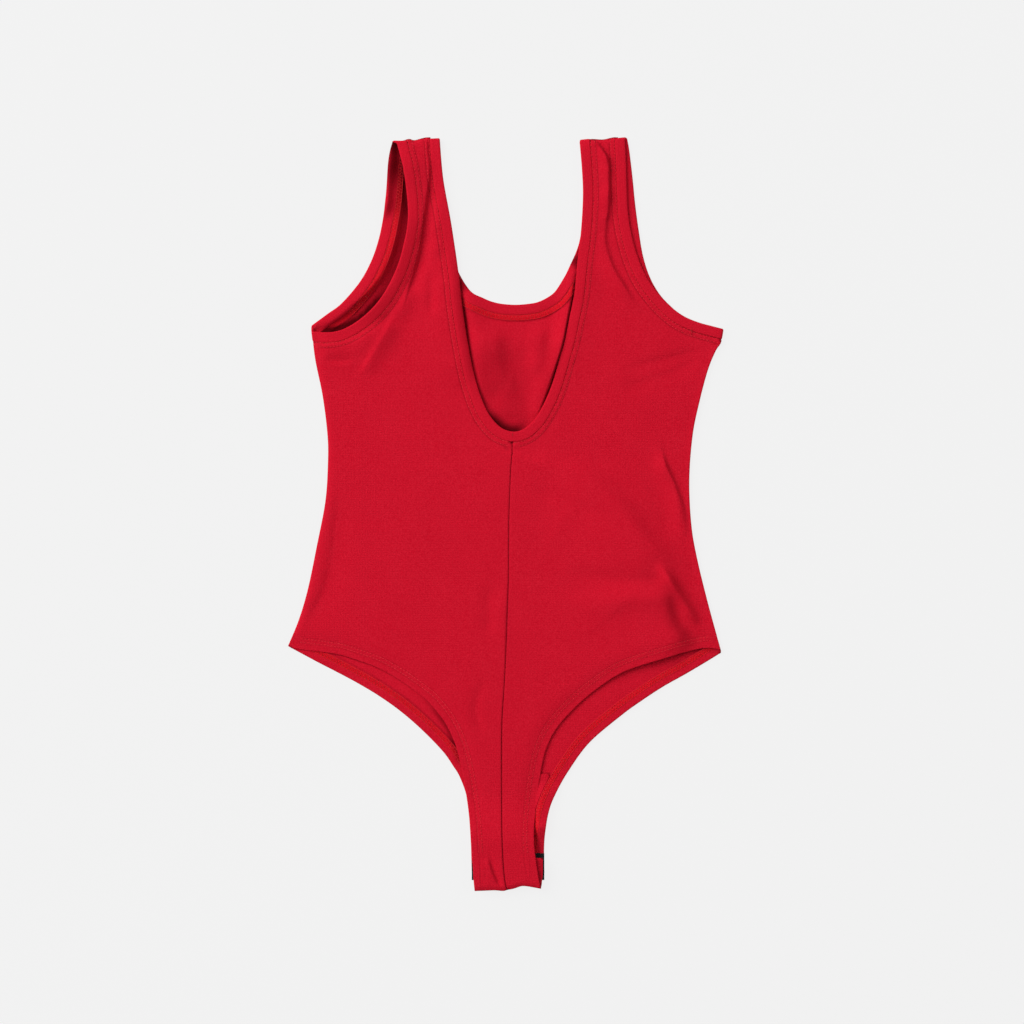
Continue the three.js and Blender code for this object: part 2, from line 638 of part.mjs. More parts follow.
function meshOf(name, made, material) {
  const result = made.getMesh();
  const geometry = new THREE.BufferGeometry();
  const vertices = [];
  for (let i = 0; i < result.numVert; i++) {
    const first = i * result.numProp;
    vertices.push(...result.vertProperties.subarray(first, first + 3));
  }
  geometry.setAttribute("position", new THREE.Float32BufferAttribute(vertices, 3));
  geometry.setIndex([...result.triVerts]);
  geometry.computeVertexNormals();
  const mesh = new THREE.Mesh(geometry, material);
  mesh.name = name;
  return mesh;
}

const bodysuit = new THREE.Group();
bodysuit.add(
  meshOf("front_panel", frontPanel(), CLOTH_RED),
  meshOf("back_panel_left", backPanel(-1), CLOTH_RED),
  meshOf("back_panel_right", backPanel(1), CLOTH_RED),
  meshOf("neck_band", bandRing(neckRuns, UPWARD, UPWARD), CLOTH_RED),
  meshOf("armhole_band_left", bandRing(leftRuns, UPWARD, new THREE.Vector3(-1, 0, 0)), CLOTH_RED),
  meshOf("armhole_band_right", bandRing(rightRuns, UPWARD, new THREE.Vector3(1, 0, 0)), CLOTH_RED),
  meshOf("crotch_lining", prism(liningPlan(), STACK.lining, STACK.lining + CLOTH), CLOTH_RED),
  meshOf("snap_tape_front", tape(FRONT_END, STACK.frontTape, 0), TAPE_BLACK),
  meshOf("snap_tape_back", tape(CROTCH.drop, STACK.backTape, TAPE.shift), TAPE_BLACK),
);
for (let i = 0; i < SNAP.count; i++) {
  const x = SNAP.first + i * SNAP.pitch;
  const socket = meshOf(`snap_socket_${i + 1}`, solid(snapHalf(false)), SNAP_BLACK);
  socket.position.set(x, SNAP.y, STACK.socket);
  const stud = meshOf(`snap_stud_${i + 1}`, solid(snapHalf(true)), SNAP_BLACK);
  stud.position.set(x, SNAP.y, STACK.stud);
  bodysuit.add(socket, stud);
}

export default bodysuit;
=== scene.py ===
"""A jersey bodysuit laid flat on a table, back up: its cloth, bindings, stitching and crotch closure.

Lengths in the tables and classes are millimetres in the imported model's frame (X right, Y to the straps,
Z up from the table); meshes are written in metres.
"""

import logging
from dataclasses import dataclass, field
from enum import StrEnum
from typing import Any, Callable, Sequence

import bpy
import numpy as np
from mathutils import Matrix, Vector
from mathutils.geometry import delaunay_2d_cdt


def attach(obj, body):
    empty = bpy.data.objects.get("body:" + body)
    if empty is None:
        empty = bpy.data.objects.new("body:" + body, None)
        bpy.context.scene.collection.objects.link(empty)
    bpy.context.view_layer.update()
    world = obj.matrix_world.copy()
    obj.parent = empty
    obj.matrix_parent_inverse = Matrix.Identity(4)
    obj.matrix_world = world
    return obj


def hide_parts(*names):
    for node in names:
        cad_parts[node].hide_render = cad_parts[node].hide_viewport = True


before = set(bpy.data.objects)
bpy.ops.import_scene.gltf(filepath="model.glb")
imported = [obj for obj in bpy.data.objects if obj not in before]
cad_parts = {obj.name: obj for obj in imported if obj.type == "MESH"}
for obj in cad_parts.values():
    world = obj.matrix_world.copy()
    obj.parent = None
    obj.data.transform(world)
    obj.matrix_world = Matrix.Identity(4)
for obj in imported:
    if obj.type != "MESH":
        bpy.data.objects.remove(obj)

LOG = logging.getLogger("bodysuit")
Array = np.ndarray
Thing = bpy.types.Object
Finish = bpy.types.Material
Point = tuple[float, float]
Height = Callable[[Array], Array]

MM = 0.001
BODY = "root"
HEM_DEEP = 12.0  # the leg hem's width
NEEDLES = (7.2, 10.4)  # the hem's two stitch rows, from the edge
ALLOWANCE = 4.8  # the seam allowance beside a band
PITCH = 3.0  # spacing of a panel's points away from seams
RUN_STEP = 2.5  # spacing of the points along an edge
FINE_STEP = 2.0  # the same on the shoulders and the bottom fold
DARKEST = 0.97  # the deepest shade that a finish is given
GUSSET = -247.0  # y of the seam at the lining's top
BAND_UNIT = 0.314  # how far apart a wave texture's bands are at a scale of 1

# Distances from a seam, hem, side, fold or crease of its closer rows of points.
SEAM_ROWS = (0.2, 0.6, 1.0, 1.5, 2.2, 3.2, 4.2, 4.8, 5.4, 6.0, 6.8, 7.8, 9.0)
HEM_ROWS = (0.3, 0.8, 1.6, 3.0, 5.0, 6.4, 7.0, 7.6, 8.4, 9.4, 10.0, 10.6, 11.4, 12.0, 12.5, 13.2, 14.6)
SIDE_ROWS = (0.3, 0.8, 1.6, 2.6, 4.0, 5.8, 8.0)
CENTRE_ROWS = (0.25, 0.6, 1.1, 1.9, 3.2)
FOLD_ROWS = (0.3, 0.8, 1.6, 3.0, 4.6, 6.8, 9.2)
CREASE_ROWS = (-6.0, -4.6, -3.4, -2.4, -1.6, -0.8, 0.0, 0.8, 1.6, 2.4, 3.4, 4.6, 6.0)
STEEP = 6.5  # a crease with a half width under this gets those rows

# ---- Finished edges, (x, y) from the shoulder down, and the hollow beside the right hip's folds
EDGES: dict[str, tuple[Point, ...]] = {
    "neck front": ((-62.8, 356), (-62.2, 325), (-58, 285), (-49.5, 242), (-35, 213.5), (-21, 204.8),
        (-8, 200.2), (8, 198.5), (22, 199.4), (31, 201.2), (40, 205.5), (47, 211), (54, 221.5), (60, 233),
        (70.5, 260), (74.8, 305), (70.6, 356)),
    "neck back": ((-62.3, 356), (-59, 318), (-51.5, 276), (-44.4, 228), (-41.4, 200), (-37, 170),
        (-31, 138), (-25.3, 117), (-18.3, 99.6), (-12, 89.6), (-5, 82.5), (1, 79.4), (7.5, 78),
        (14.5, 79.2), (21.5, 83.5), (29, 91.6), (37, 105.5), (43.5, 121), (47.5, 134), (51, 147),
        (54.6, 159), (57.6, 171), (60.8, 187), (63.6, 200), (65.3, 211), (66.6, 224), (68.6, 243),
        (71.6, 268), (73.4, 300), (72.6, 325), (70, 356)),
    "arm front left": ((-106.6, 354), (-109.2, 345), (-111.3, 330), (-113.4, 300), (-116.2, 280),
        (-120.4, 260), (-127.2, 240), (-138, 220), (-155, 200), (-169, 189.5), (-184, 178.5)),
    "arm back left": ((-103.8, 354), (-100, 340), (-97, 328), (-94.3, 310), (-92.4, 288), (-93.4, 270),
        (-99.5, 243), (-107, 224), (-117, 206), (-130, 191), (-147, 178.5), (-163, 172.6), (-184, 172.8)),
    "arm front right": ((115.6, 356), (117.6, 345), (120.6, 320), (123.2, 294), (126.4, 270), (130.6, 245),
        (137, 225), (146, 209), (157, 197), (170, 186.5), (187, 179), (206.5, 174.5)),
    "arm back right": ((113.4, 356), (114.4, 335), (115.2, 310), (116.5, 285), (120.2, 263), (127, 240),
        (135.6, 222), (147.6, 206.3), (158.5, 195.2), (170, 187.1), (183, 181.7), (195, 178.4),
        (206.5, 175.4)),
    "side left": ((-184, 176), (-180.7, 147), (-173.6, 112), (-169, 75), (-168.6, 48), (-171, 12),
        (-179, -30), (-187.5, -71), (-196, -100), (-206.3, -125.2)),
    "side right": ((206.5, 174), (204.6, 162.5), (199.5, 154.5), (192, 136), (183.8, 105), (177.6, 74),
        (174.5, 32), (176.4, -10), (181.8, -42), (192, -84), (204.6, -130)),
    "leg front left": ((-206.3, -125.8), (-180, -140), (-160, -150.3), (-140, -161), (-120, -173),
        (-100, -187.2), (-80, -204.5), (-60, -225), (-50, -239), (-43, -250.8), (-36.3, -271),
        (-33.4, -300), (-32, -341)),
    "leg front right": ((204.6, -132), (190, -141), (170, -152.8), (150, -164), (130, -177), (110, -191.5),
        (80, -217), (60, -244), (47, -267), (41, -283), (37.6, -303), (36.6, -322), (37, -341)),
    "leg back left": ((-203, -127.6), (-190, -129.5), (-160, -133.5), (-140, -139.5), (-120, -147),
        (-100, -158.5), (-80, -173), (-70, -182), (-57, -199), (-48, -218), (-42.5, -238), (-38, -262),
        (-34.4, -288), (-32.2, -320), (-30.9, -334), (-30.3, -346), (-29.2, -357.3)),
    "leg back right": ((203, -129), (190, -127.6), (170, -131.5), (150, -137.5), (130, -143.5),
        (110, -151.2), (90, -164), (70, -180.4), (50, -202), (39, -222.5), (34, -243), (30.5, -265),
        (27.8, -290), (27.2, -310), (28.8, -327), (31.5, -345), (33.6, -355.2)),
    "centre": ((6.8, 80), (6.4, 60), (4.8, 36), (3.4, -6), (3, -60), (2, -90), (0.4, -135), (-1.5, -170),
        (-3.3, -200), (-3.6, -250), (-3.3, -300), (-1.8, -334), (0, -350), (1.6, -356)),
    "shoulder left": ((-107, 352.6), (-98, 354.4), (-91, 356), (-87, 354.6), (-80, 356.4), (-75, 357.4),
        (-68, 357.2), (-62.5, 355.6)),
    "shoulder right": ((70, 352), (76, 354.8), (83, 355.9), (92, 355.4), (99, 356.8), (103, 357.5),
        (111, 357.5), (115.4, 355)),
    "bottom": ((-29.2, -357.3), (-20, -357), (-10, -356.6), (-2, -357.2), (2, -356.2), (8, -355),
        (15, -352.7), (20, -352.8), (27, -354), (33.6, -355.2)),
    # Line beside the right hip's folds along which the back panel's shade is painted.
    "hip hollow": ((152, -70), (155.5, -90), (161, -106), (169, -114)),
}


class Hand(StrEnum):
    """A side of the garment as it lies, seen from above."""

    LEFT = "left"
    RIGHT = "right"

    @property
    def sign(self) -> int:
        """-1 on the left, 1 on the right."""
        return -1 if self is Hand.LEFT else 1


@dataclass(frozen=True)
class Crease:
    """One soft fold of a layer, with a half width on the left and right of its run.

    high is its height, below 0 for a trough, and start and end say how much of it its two ends keep.
    """

    place: str
    high: float
    left: float
    right: float
    start: float
    end: float
    along: tuple[Point, ...]


def creases(*rows: tuple[Any, ...]) -> tuple[Crease, ...]:
    """Reads rows of (place, high, left, right, start, end, along).

    Args:
        rows: one tuple a crease.

    Returns:
        The creases.
    """
    return tuple(Crease(*row) for row in rows)


BACK_CREASES = creases(
    ("left strap, raised edge", 4.8, 26, 12, 0.5, 0.5, ((-99, 352), (-95, 320), (-93, 292), (-99, 258))),
    ("left armhole, raised edge", 4.2, 14, 12, 0, 0.5, ((-93, 290), (-98, 258), (-107, 228), (-120, 206),
        (-138, 189), (-162, 179))),
    ("left strap, valley", -3.2, 9, 1.25, 0.5, 0, ((-73, 346), (-70.4, 330), (-71.7, 310), (-73.2, 300),
        (-74.6, 288), (-77.4, 270), (-80, 250), (-84.7, 232), (-90.8, 212), (-97, 190))),
    ("left strap, ridge", 0.8, 6, 7, 0, 0, ((-68, 300), (-66.5, 268), (-65, 236))),
    ("left strap, low valley", -1.2, 5, 5, 0, 0, ((-71, 232), (-70, 205), (-70, 184))),
    ("left armhole, turn", 1.8, 8, 6, 0, 0, ((-88, 218), (-96, 198), (-108, 182))),
    ("right strap, crest", 4.2, 1.3, 9, 0.6, 0.5, ((87, 351), (95, 339), (97.2, 330), (97.6, 318),
        (97.4, 300), (96.6, 284))),
    ("right strap, low crest", 2.2, 2.4, 10, 0, 0, ((97, 292), (94.5, 276), (93.5, 262), (96, 248),
        (101.5, 233), (109.5, 219), (119.5, 204), (131.5, 192))),
    ("right strap, neck roll", 1.7, 13, 8, 0.8, 0.5, ((73, 352), (74, 318), (75, 285), (77, 262))),
    ("right strap, inner", 0.5, 5, 5, 0, 0, ((86, 330), (87, 300), (85, 262))),
    ("right hip, long", 4.9, 13, 58, 0.3, 0, ((40, 46), (74, 33), (103, 9), (129, -25), (155, -52),
        (170, -74))),
    ("right hip, upper", 5.8, 5, 6, 0, 0, ((142, -44), (152, -58), (162, -74), (173, -91), (184, -108))),
    ("right hip, lower", 5.6, 8.5, 64, 0, 0.3, ((149, -58), (152, -84), (155, -101), (164, -116),
        (181, -128))),
    ("right hip, faint", -0.6, 7, 7, 0, 0, ((21, 21), (53, 15), (90, -8))),
    ("right hip, faint low", -0.9, 9, 7, 0, 0, ((56, -49), (84, -60), (138, -63))),
    ("right waist", 3.2, 2.2, 9, 0.2, 1, ((147, 62), (152.5, 43), (159, 30), (164, 17), (167.6, 7),
        (171, -2), (174.5, -11))),
    ("right waist, faint", -0.6, 7, 7, 0, 0, ((136, 28), (150, 0), (162, -27))),
    ("right underarm", -0.9, 10, 4.5, 0, 0, ((196, 157), (150, 146), (106, 135))),
    ("right underarm, low", -0.8, 10, 5, 0, 0, ((190, 148), (150, 130), (104, 118))),
    ("left underarm", 2.6, 7, 15, 0.6, 0, ((-180, 158), (-160, 157), (-142, 161), (-122, 172),
        (-106, 186))),
    ("left underarm, crease", -0.9, 6, 3, 0, 0, ((-174, 147), (-156, 145), (-142, 148))),
    ("left underarm, ridge", 1.9, 4, 9, 0, 0, ((-139, 127), (-121, 158), (-101, 192))),
    ("left hip", -1.2, 16, 6, 0, 0, ((-157, 30), (-162, -30), (-170, -71), (-184, -98), (-183, -122))),
    ("centre back, left", 0.7, 3, 9, 0, 0, ((1, -60), (-1, -100), (-2, -146))),
    ("seat, left", -0.8, 6, 6, 0, 0, ((-15, -66), (-16, -92), (-15, -118))),
    ("seat, curve", -0.8, 5, 5, 0, 0, ((-18, -154), (-28, -182), (-24, -202), (-18, -214))),
    ("neck, left roll", 3, 20, 26, 0, 0, ((-57, 250), (-53, 214), (-49.5, 178), (-43, 146), (-34, 118))),
    ("neck, right roll", 0.8, 13, 8, 0, 0, ((77, 258), (75, 226), (71, 196), (65.5, 166), (57.5, 138),
        (48, 112))),
    ("crotch, fold", -1.7, 3.4, 1.6, 0.3, 0.3, ((-14.5, -325), (-12.5, -334), (-9.3, -343), (-5.5, -350),
        (-3, -355))),
    ("crotch, fold crest", 0.9, 3, 7, 0, 0, ((-18, -324), (-15.6, -334), (-12, -343), (-8, -351))),
)
FRONT_CREASES = creases(
    ("window, left lip", 2, 13, 1.5, 0.6, 0, ((-38.8, 222), (-37.2, 195), (-34.3, 175), (-31.2, 155),
        (-27, 138), (-21.8, 118), (-18.4, 108))),
    ("window, left wall", 1.5, 13, 8, 0.4, 0, ((-31, 218), (-28, 196), (-25, 174), (-21, 152), (-16, 132))),
    ("window, left swell", 3.2, 10, 22, 0, 0, ((-9, 186), (-11, 168), (-10, 148), (-4, 122), (0, 106))),
    ("window, right swell", 2, 7, 10, 0, 0, ((33, 184), (33, 160), (31, 144), (28, 128))),
    ("window, right wall", 5.4, 1.6, 9, 0.5, 0.3, ((68, 246), (64, 216), (58.8, 188), (53.8, 161),
        (46.2, 138), (37.6, 114), (31, 97))),
    ("window, bottom roll", 1.6, 30, 9, 0, 0, ((-16, 107), (-3, 100), (11, 98), (24, 103))),
    ("left strap, rolled edge", 7, 3.6, 3, 0.6, 0, ((-108.5, 350), (-110.6, 328), (-112.6, 300),
        (-115.5, 276))),
    ("left armhole, stiff seam", 4.8, 2.8, 22, 0, 0.8, ((-98.5, 324), (-99, 300), (-101, 280),
        (-103.5, 265), (-108, 250), (-113.5, 237), (-120, 224), (-130.5, 211.5), (-142, 201), (-153, 191.5),
        (-164, 184), (-174, 179))),
    ("left leg, hem", 0.7, 9, 9, 0, 0, ((-150, -150), (-100, -182), (-62, -218))),
    ("right leg, hem", 0.7, 9, 9, 0, 0, ((160, -156), (110, -188), (70, -226))),
    ("right crotch, hem", 4.2, 30, 7, 0, 0.25, ((42, -250), (35, -272), (32.5, -292), (33, -313))),
    ("right crotch, end", 2.2, 30, 5, 0, 0.5, ((32.5, -288), (33, -319))),
)


# ---- Lines in the plane
def smooth(share: Array | float) -> Array:
    """Eases a share from 0 to 1; below 0 it counts as 0 and over 1 as 1.

    Args:
        share: a number or array.

    Returns:
        The same, eased.
    """
    held = np.clip(share, 0.0, 1.0)
    return held * held * (3.0 - 2.0 * held)


def rounded(share: Array | float) -> Array:
    """Rises as a quarter circle does, from 0 at 0 to 1 at 1.

    Args:
        share: a number or array.

    Returns:
        The height of the quarter circle.
    """
    return np.sqrt(1.0 - (1.0 - np.clip(share, 0.0, 1.0)) ** 2)


def dip(away: Array, at: float, wide: float) -> Array:
    """Gives a soft bump of height 1 and a half width, at one distance from an edge.

    Args:
        away: distances from the edge.
        at: where the bump is.
        wide: its half width.

    Returns:
        The bump's height at each distance.
    """
    return np.exp(-(((away - at) / wide) ** 2))


def flat(height: float) -> Height:
    """Gives a height function that is the same everywhere.

    Args:
        height: the height.

    Returns:
        The function.
    """
    return lambda points: np.full(len(points), height)


def length(line: Array) -> Array:
    """Gives the run from a line's start to each of its points.

    Args:
        line: points, one a row.

    Returns:
        The run at each point, 0 at the first.
    """
    return np.concatenate(([0.0], np.cumsum(np.hypot(*np.diff(line, axis=0).T))))


def even(line: Array, step: float) -> Array:
    """Spaces a line's points evenly.

    Args:
        line: points, one a row.
        step: the spacing wanted.

    Returns:
        The line again, with equal steps of about that length.
    """
    run = length(line)
    stops = np.linspace(0.0, run[-1], max(int(round(run[-1] / step)), 2) + 1)
    return np.column_stack([np.interp(stops, run, line[:, k]) for k in (0, 1)])


def curve(rows: Sequence[Point], step: float = RUN_STEP) -> Array:
    """Draws a smooth line through given points.

    Args:
        rows: the points.
        step: spacing of the result.

    Returns:
        Evenly spaced points of the line.
    """
    held = np.array(rows, float)
    last = len(held) - 1
    share = np.linspace(0.0, 1.0, 16, endpoint=False)[:, None]
    parts = []
    for i in range(last):
        before, here, after, beyond = held[max(i - 1, 0)], held[i], held[i + 1], held[min(i + 2, last)]
        leave, arrive = (after - before) / 2, (beyond - here) / 2
        cubic = (2 * here - 2 * after + leave + arrive) * share**3
        square = (3 * after - 3 * here - 2 * leave - arrive) * share**2
        parts.append(cubic + square + leave * share + here)
    return even(np.vstack([*parts, held[-1:]]), step)


def normals(line: Array) -> Array:
    """Gives the unit normal on the left of a line at each of its points.

    Args:
        line: points, one a row.

    Returns:
        The normals, one a row.
    """
    x, y = np.gradient(line, axis=0).T
    return np.column_stack([-y, x]) / np.hypot(x, y)[:, None]


def moved(line: Array, amount: float) -> Array:
    """Moves a line to its left by an amount, or to its right where that is below 0.

    Args:
        line: points, one a row.
        amount: how far.

    Returns:
        The line's points, moved.
    """
    return line + normals(line) * amount


def ring(outline: Array) -> Array:
    """Closes an outline by its first point.

    Args:
        outline: its points, in order.

    Returns:
        The same points and the first again.
    """
    return np.vstack([outline, outline[:1]])


def nearest(points: Array, line: Array) -> tuple[Array, Array, Array]:
    """Measures points against a line.

    Args:
        points: the points, one a row.
        line: the line's points, one a row.

    Returns:
        Each point's distance to the line, its share of the way along it, and its side (left above 0).
    """
    start, way = line[:-1], np.diff(line, axis=0)
    square = np.maximum((way**2).sum(1), 1e-12)
    long = np.sqrt(square)
    run = np.concatenate(([0.0], np.cumsum(long)))
    away, share, side = (np.empty(len(points)) for _ in range(3))
    for low in range(0, len(points), 4096):
        part = slice(low, low + 4096)
        off = points[part, None, :] - start[None]
        t = np.clip((off * way).sum(2) / square, 0.0, 1.0)
        gap = np.hypot(*np.moveaxis(off - t[..., None] * way, 2, 0))
        best = gap.argmin(1)
        row = np.arange(len(best))
        away[part] = gap[row, best]
        share[part] = (run[best] + t[row, best] * long[best]) / run[-1]
        side[part] = way[best, 0] * off[row, best, 1] - way[best, 1] * off[row, best, 0]
    return away, share, side


def distance(points: Array, *lines: Array) -> Array:
    """Gives each point's distance to the nearest of some lines.

    Args:
        points: the points, one a row.
        lines: one or more lines.

    Returns:
        The distances.
    """
    return np.min([nearest(points, line)[0] for line in lines], axis=0)


def inside(points: Array, loop: Array) -> Array:
    """Tells which points lie inside a closed outline.

    Args:
        points: the points, one a row.
        loop: the outline's corners, in order.

    Returns:
        True for each point inside.
    """
    x, y = points.T
    within = np.zeros(len(points), bool)
    for (ax, ay), (bx, by) in zip(loop, np.roll(loop, -1, axis=0)):
        if ay != by:
            within ^= ((ay > y) != (by > y)) & (x < (bx - ax) * (y - ay) / (by - ay) + ax)
    return within


def tidy(loop: Array, least: float = 0.5) -> Array:
    """Drops the points of a closed outline that crowd the one before.

    Args:
        loop: the outline.
        least: the closest that two points may be.

    Returns:
        The outline with the rest of its points.
    """
    kept = [loop[0]]
    for point in loop[1:]:
        if np.hypot(*(point - kept[-1])) >= least:
            kept.append(point)
    if np.hypot(*(kept[-1] - kept[0])) < least:
        kept.pop()
    return np.array(kept)


def waver(points: Array, wave: float, seed: int) -> Array:
    """Wavers smoothly and without pattern over the plane.

    Args:
        points: the points, one a row.
        wave: the usual distance from crest to crest.
        seed: picks the pattern.

    Returns:
        Values of about -1 to 1.
    """
    dice = np.random.default_rng(seed)
    total = np.zeros(len(points))
    for _ in range(7):
        angle, phase = dice.uniform(0, 2 * np.pi, 2)
        pitch = 2 * np.pi / (wave * dice.uniform(0.7, 1.5))
        total += np.sin(pitch * (points @ np.array([np.cos(angle), np.sin(angle)])) + phase)
    return total / 3.5


# ---- How the garment lies
@dataclass
class Lay:
    """The garment's finished edges and seams, and how high each of its two layers lies over the table."""

    cloth: float = 0.95
    band: float = 9.5
    band_thick: float = 2.2
    room: float = 0.12
    tuck: float = 0.6
    loft: float = 3.6
    seam: float = 1.7
    roll: float = 6.5
    lip: float = 2.9
    settled: float = 2.45
    snap_lift: float = 6.0
    tip_drop: float = 1.3
    curl: float = 2.0
    lines: dict[str, Array] = field(init=False)

    def __post_init__(self) -> None:
        """Draws the finished edges."""
        fine = dict.fromkeys(("shoulder left", "shoulder right", "bottom"), FINE_STEP)
        self.lines = {name: curve(rows, fine.get(name, RUN_STEP)) for name, rows in EDGES.items()}

    def __getitem__(self, name: str) -> Array:
        """Gives an edge by its name."""
        return self.lines[name]

    def off(self, points: Array, *names: str) -> Array:
        """Gives the distance to the nearest of some named edges."""
        return distance(points, *(self[name] for name in names))

    def below_shoulder(self, line: Array, hand: Hand) -> Array:
        """Keeps the part of a seam that lies below the shoulder."""
        return line[line[:, 1] < np.interp(line[:, 0], *self[f"shoulder {hand}"].T) - 1.2]

    def shoulder(self, start: float, end: float, hand: Hand) -> Array:
        """Gives the shoulder's line between two values of x."""
        xs = np.linspace(start, end, 16)
        return np.column_stack([xs, np.interp(xs, *self[f"shoulder {hand}"].T) - self.room])

    def neck_seam(self, layer: str) -> Array:
        """Gives the neck seam of a layer, from the left shoulder round to the right one.

        Args:
            layer: "front" or "back".

        Returns:
            Its points.
        """
        line = moved(self[f"neck {layer}"], self.tuck - self.band)
        half = len(line) // 2
        sides = ((line[:half], Hand.LEFT), (line[half:], Hand.RIGHT))
        return np.vstack([self.below_shoulder(part, hand) for part, hand in sides])

    def arm_seam(self, layer: str, hand: Hand) -> Array:
        """Gives a layer's armhole seam from the shoulder to the side seam.

        Args:
            layer: "front" or "back".
            hand: which armhole.

        Returns:
            Its points.
        """
        line = moved(self[f"arm {layer} {hand}"], hand.sign * (self.tuck - self.band))
        line = self.below_shoulder(line, hand)
        side = self[f"side {hand}"][::-1]
        limit = hand.sign * np.interp(line[:, 1], side[:, 1], side[:, 0])
        return line[hand.sign * line[:, 0] < limit - 0.8]

    def side_below(self, hand: Hand, seam: Array) -> Array:
        """Gives the side's line below an armhole seam."""
        side = self[f"side {hand}"]
        return side[side[:, 1] < seam[-1, 1] - 0.8]

    @staticmethod
    def folds(points: Array, made: Sequence[Crease]) -> Array:
        """Adds up a layer's creases.

        Args:
            points: places on the layer.
            made: the creases.

        Returns:
            Their summed height at each place.
        """
        total = np.zeros(len(points))
        for number, crease in enumerate(made):
            away, share, side = nearest(points, curve(crease.along, 4.0))
            wide = np.where(side > 0, crease.left, crease.right)
            fade = crease.start + (1 - crease.start) * smooth(share * 3.5)
            fade *= crease.end + (1 - crease.end) * smooth((1 - share) * 3.5)
            lively = 1 + 0.16 * np.sin(9.0 * share + 2.1 * number)
            total += crease.high * fade * lively * np.exp(-((away / wide) ** 2))
        return total

    def under_front(self, points: Array) -> Array:
        """Gives the height of the front's outer face, on the table where no fold lifts it."""
        rim = 0.7 * (1 - smooth(self.off(points, "side right") / 6.0))
        return np.maximum(self.folds(points, FRONT_CREASES) - 0.15, rim)

    def back(self, points: Array) -> Array:
        """Gives the height of the middle of the back layer's cloth.

        Args:
            points: places on the layer.

        Returns:
            The height: loose cloth, brought down to the seams, settled at the legs and lifted by the snaps.
        """
        x, y = points.T
        left, right = self.off(points, "side left"), self.off(points, "side right")
        loose = self.loft - 1.1 * smooth(1 - right / 60.0)
        creased_by = self.folds(points, BACK_CREASES) + 0.16 * waver(points, 70, 3)
        loose += creased_by * smooth(np.minimum(left, right) / 14.0)
        rolled = self.seam + (loose - self.seam) * rounded(left / self.roll)
        lipped = self.lip + (loose - self.lip) * smooth(right / 6.5)
        height = np.where(left < right, rolled, lipped)
        shoulder = self.off(points, "shoulder left", "shoulder right")
        height = self.seam + (height - self.seam) * rounded(shoulder / 7.0)
        rise = smooth((-262 - y) / 54)
        fall = smooth(1 - self.off(points, "bottom") / 4.0)
        leg = self.off(points, "leg back left", "leg back right")
        lowered = height - 1.5 * smooth(1 - leg / 20.0) * (1 - rise)
        height = np.maximum(lowered, np.minimum(height, self.settled))
        beside = smooth((y - 92) / 34) * smooth((254 - y) / 30) * (x < 8)
        curl = self.curl * beside * np.clip(1 - self.off(points, "neck back") / 7.5, 0, 1) ** 2
        return height + self.snap_lift * rise - self.tip_drop * fall - curl

    def front_band(self, points: Array) -> Array:
        """Gives the height of the middle of a band that belongs to the front layer."""
        return self.under_front(points) + self.band_thick / 2

    def back_band(self, points: Array) -> Array:
        """Gives the height of the middle of a band that belongs to the back layer.

        Args:
            points: places on the band.

        Returns:
            The height at each place.
        """
        x, y = points.T
        window = smooth((y - 70) / 10) * smooth((252 - y) / 12) * (np.abs(x) < 78)
        return np.maximum(self.back(points), self.band_thick * 1.5 + 0.2 - 0.9 * window)

    def pocket(self, points: Array) -> Array:
        """Tells how little light gets under the left strap's rolled edge and beside the back neck.

        Args:
            points: places on the front layer.

        Returns:
            A shade from 0 to 1.
        """
        x, y = points.T
        strap = 0.6 * smooth((y - 268) / 40) * (x < -90) * smooth((-109 - x) / -2.5)
        arm = self.off(points, "arm back left")
        near = 0.35 * smooth((y - 285) / 30) * (x < -90) * (1 - smooth(arm / 7.0))
        neck = self.off(points, "neck back")
        tall = smooth((y - 96) / 12) * smooth((252 - y) / 12) * (np.abs(x) < 78)
        deep = np.where(x < 10, 0.62 * (1 - smooth((neck - 1) / 4.0)), 0.7 * (1 - smooth((neck - 0.5) / 2.5)))
        return np.minimum(strap + near + tall * deep, DARKEST)


# ---- Meshes
@dataclass
class Edge:
    """A run of a panel's outline with closer rows of points beside it, at the given distances."""

    line: Array
    rows: tuple[float, ...]
    clear: float = 0.0


def creased(made: Sequence[Crease]) -> list[Edge]:
    """Gives closer rows of points on both sides of the creases that have a steep side.

    Args:
        made: a layer's creases.

    Returns:
        One Edge for each of the steep ones.
    """
    steep = [crease for crease in made if min(crease.left, crease.right) < STEEP]
    return [Edge(curve(crease.along, 2.2), CREASE_ROWS, clear=0.9) for crease in steep]


def mesh_object(name: str, vertices: Array, faces: Any, finish: Finish) -> Thing:
    """Makes a smooth mesh object that rides on the garment.

    Args:
        name: the piece's name.
        vertices: places in mm.
        faces: corners of each face.
        finish: its material.

    Returns:
        The new object.
    """
    mesh = bpy.data.meshes.new(name)
    mesh.from_pydata((np.asarray(vertices) * MM).tolist(), [], [tuple(map(int, f)) for f in faces])
    mesh.polygons.foreach_set("use_smooth", [True] * len(mesh.polygons))
    mesh.materials.append(finish)
    mesh.update()
    piece = bpy.data.objects.new(name, mesh)
    bpy.context.scene.collection.objects.link(piece)
    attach(piece, BODY)
    return piece


def stand_in(piece: Thing, node: str | None = None) -> Thing:
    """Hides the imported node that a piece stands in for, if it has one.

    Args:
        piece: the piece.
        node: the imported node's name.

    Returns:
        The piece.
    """
    if node:
        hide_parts(node)
    return piece


def give_shade(piece: Thing, name: str, shade: Array) -> None:
    """Stores a share from 0 to 1 at each vertex, of painted shade or of looper thread's cover.

    Args:
        piece: the mesh object.
        name: what is shared out.
        shade: one value a vertex.
    """
    held = piece.data.attributes.new(name, "FLOAT", "POINT")
    held.data.foreach_set("value", np.clip(shade, 0.0, 1.0).astype(np.float32))


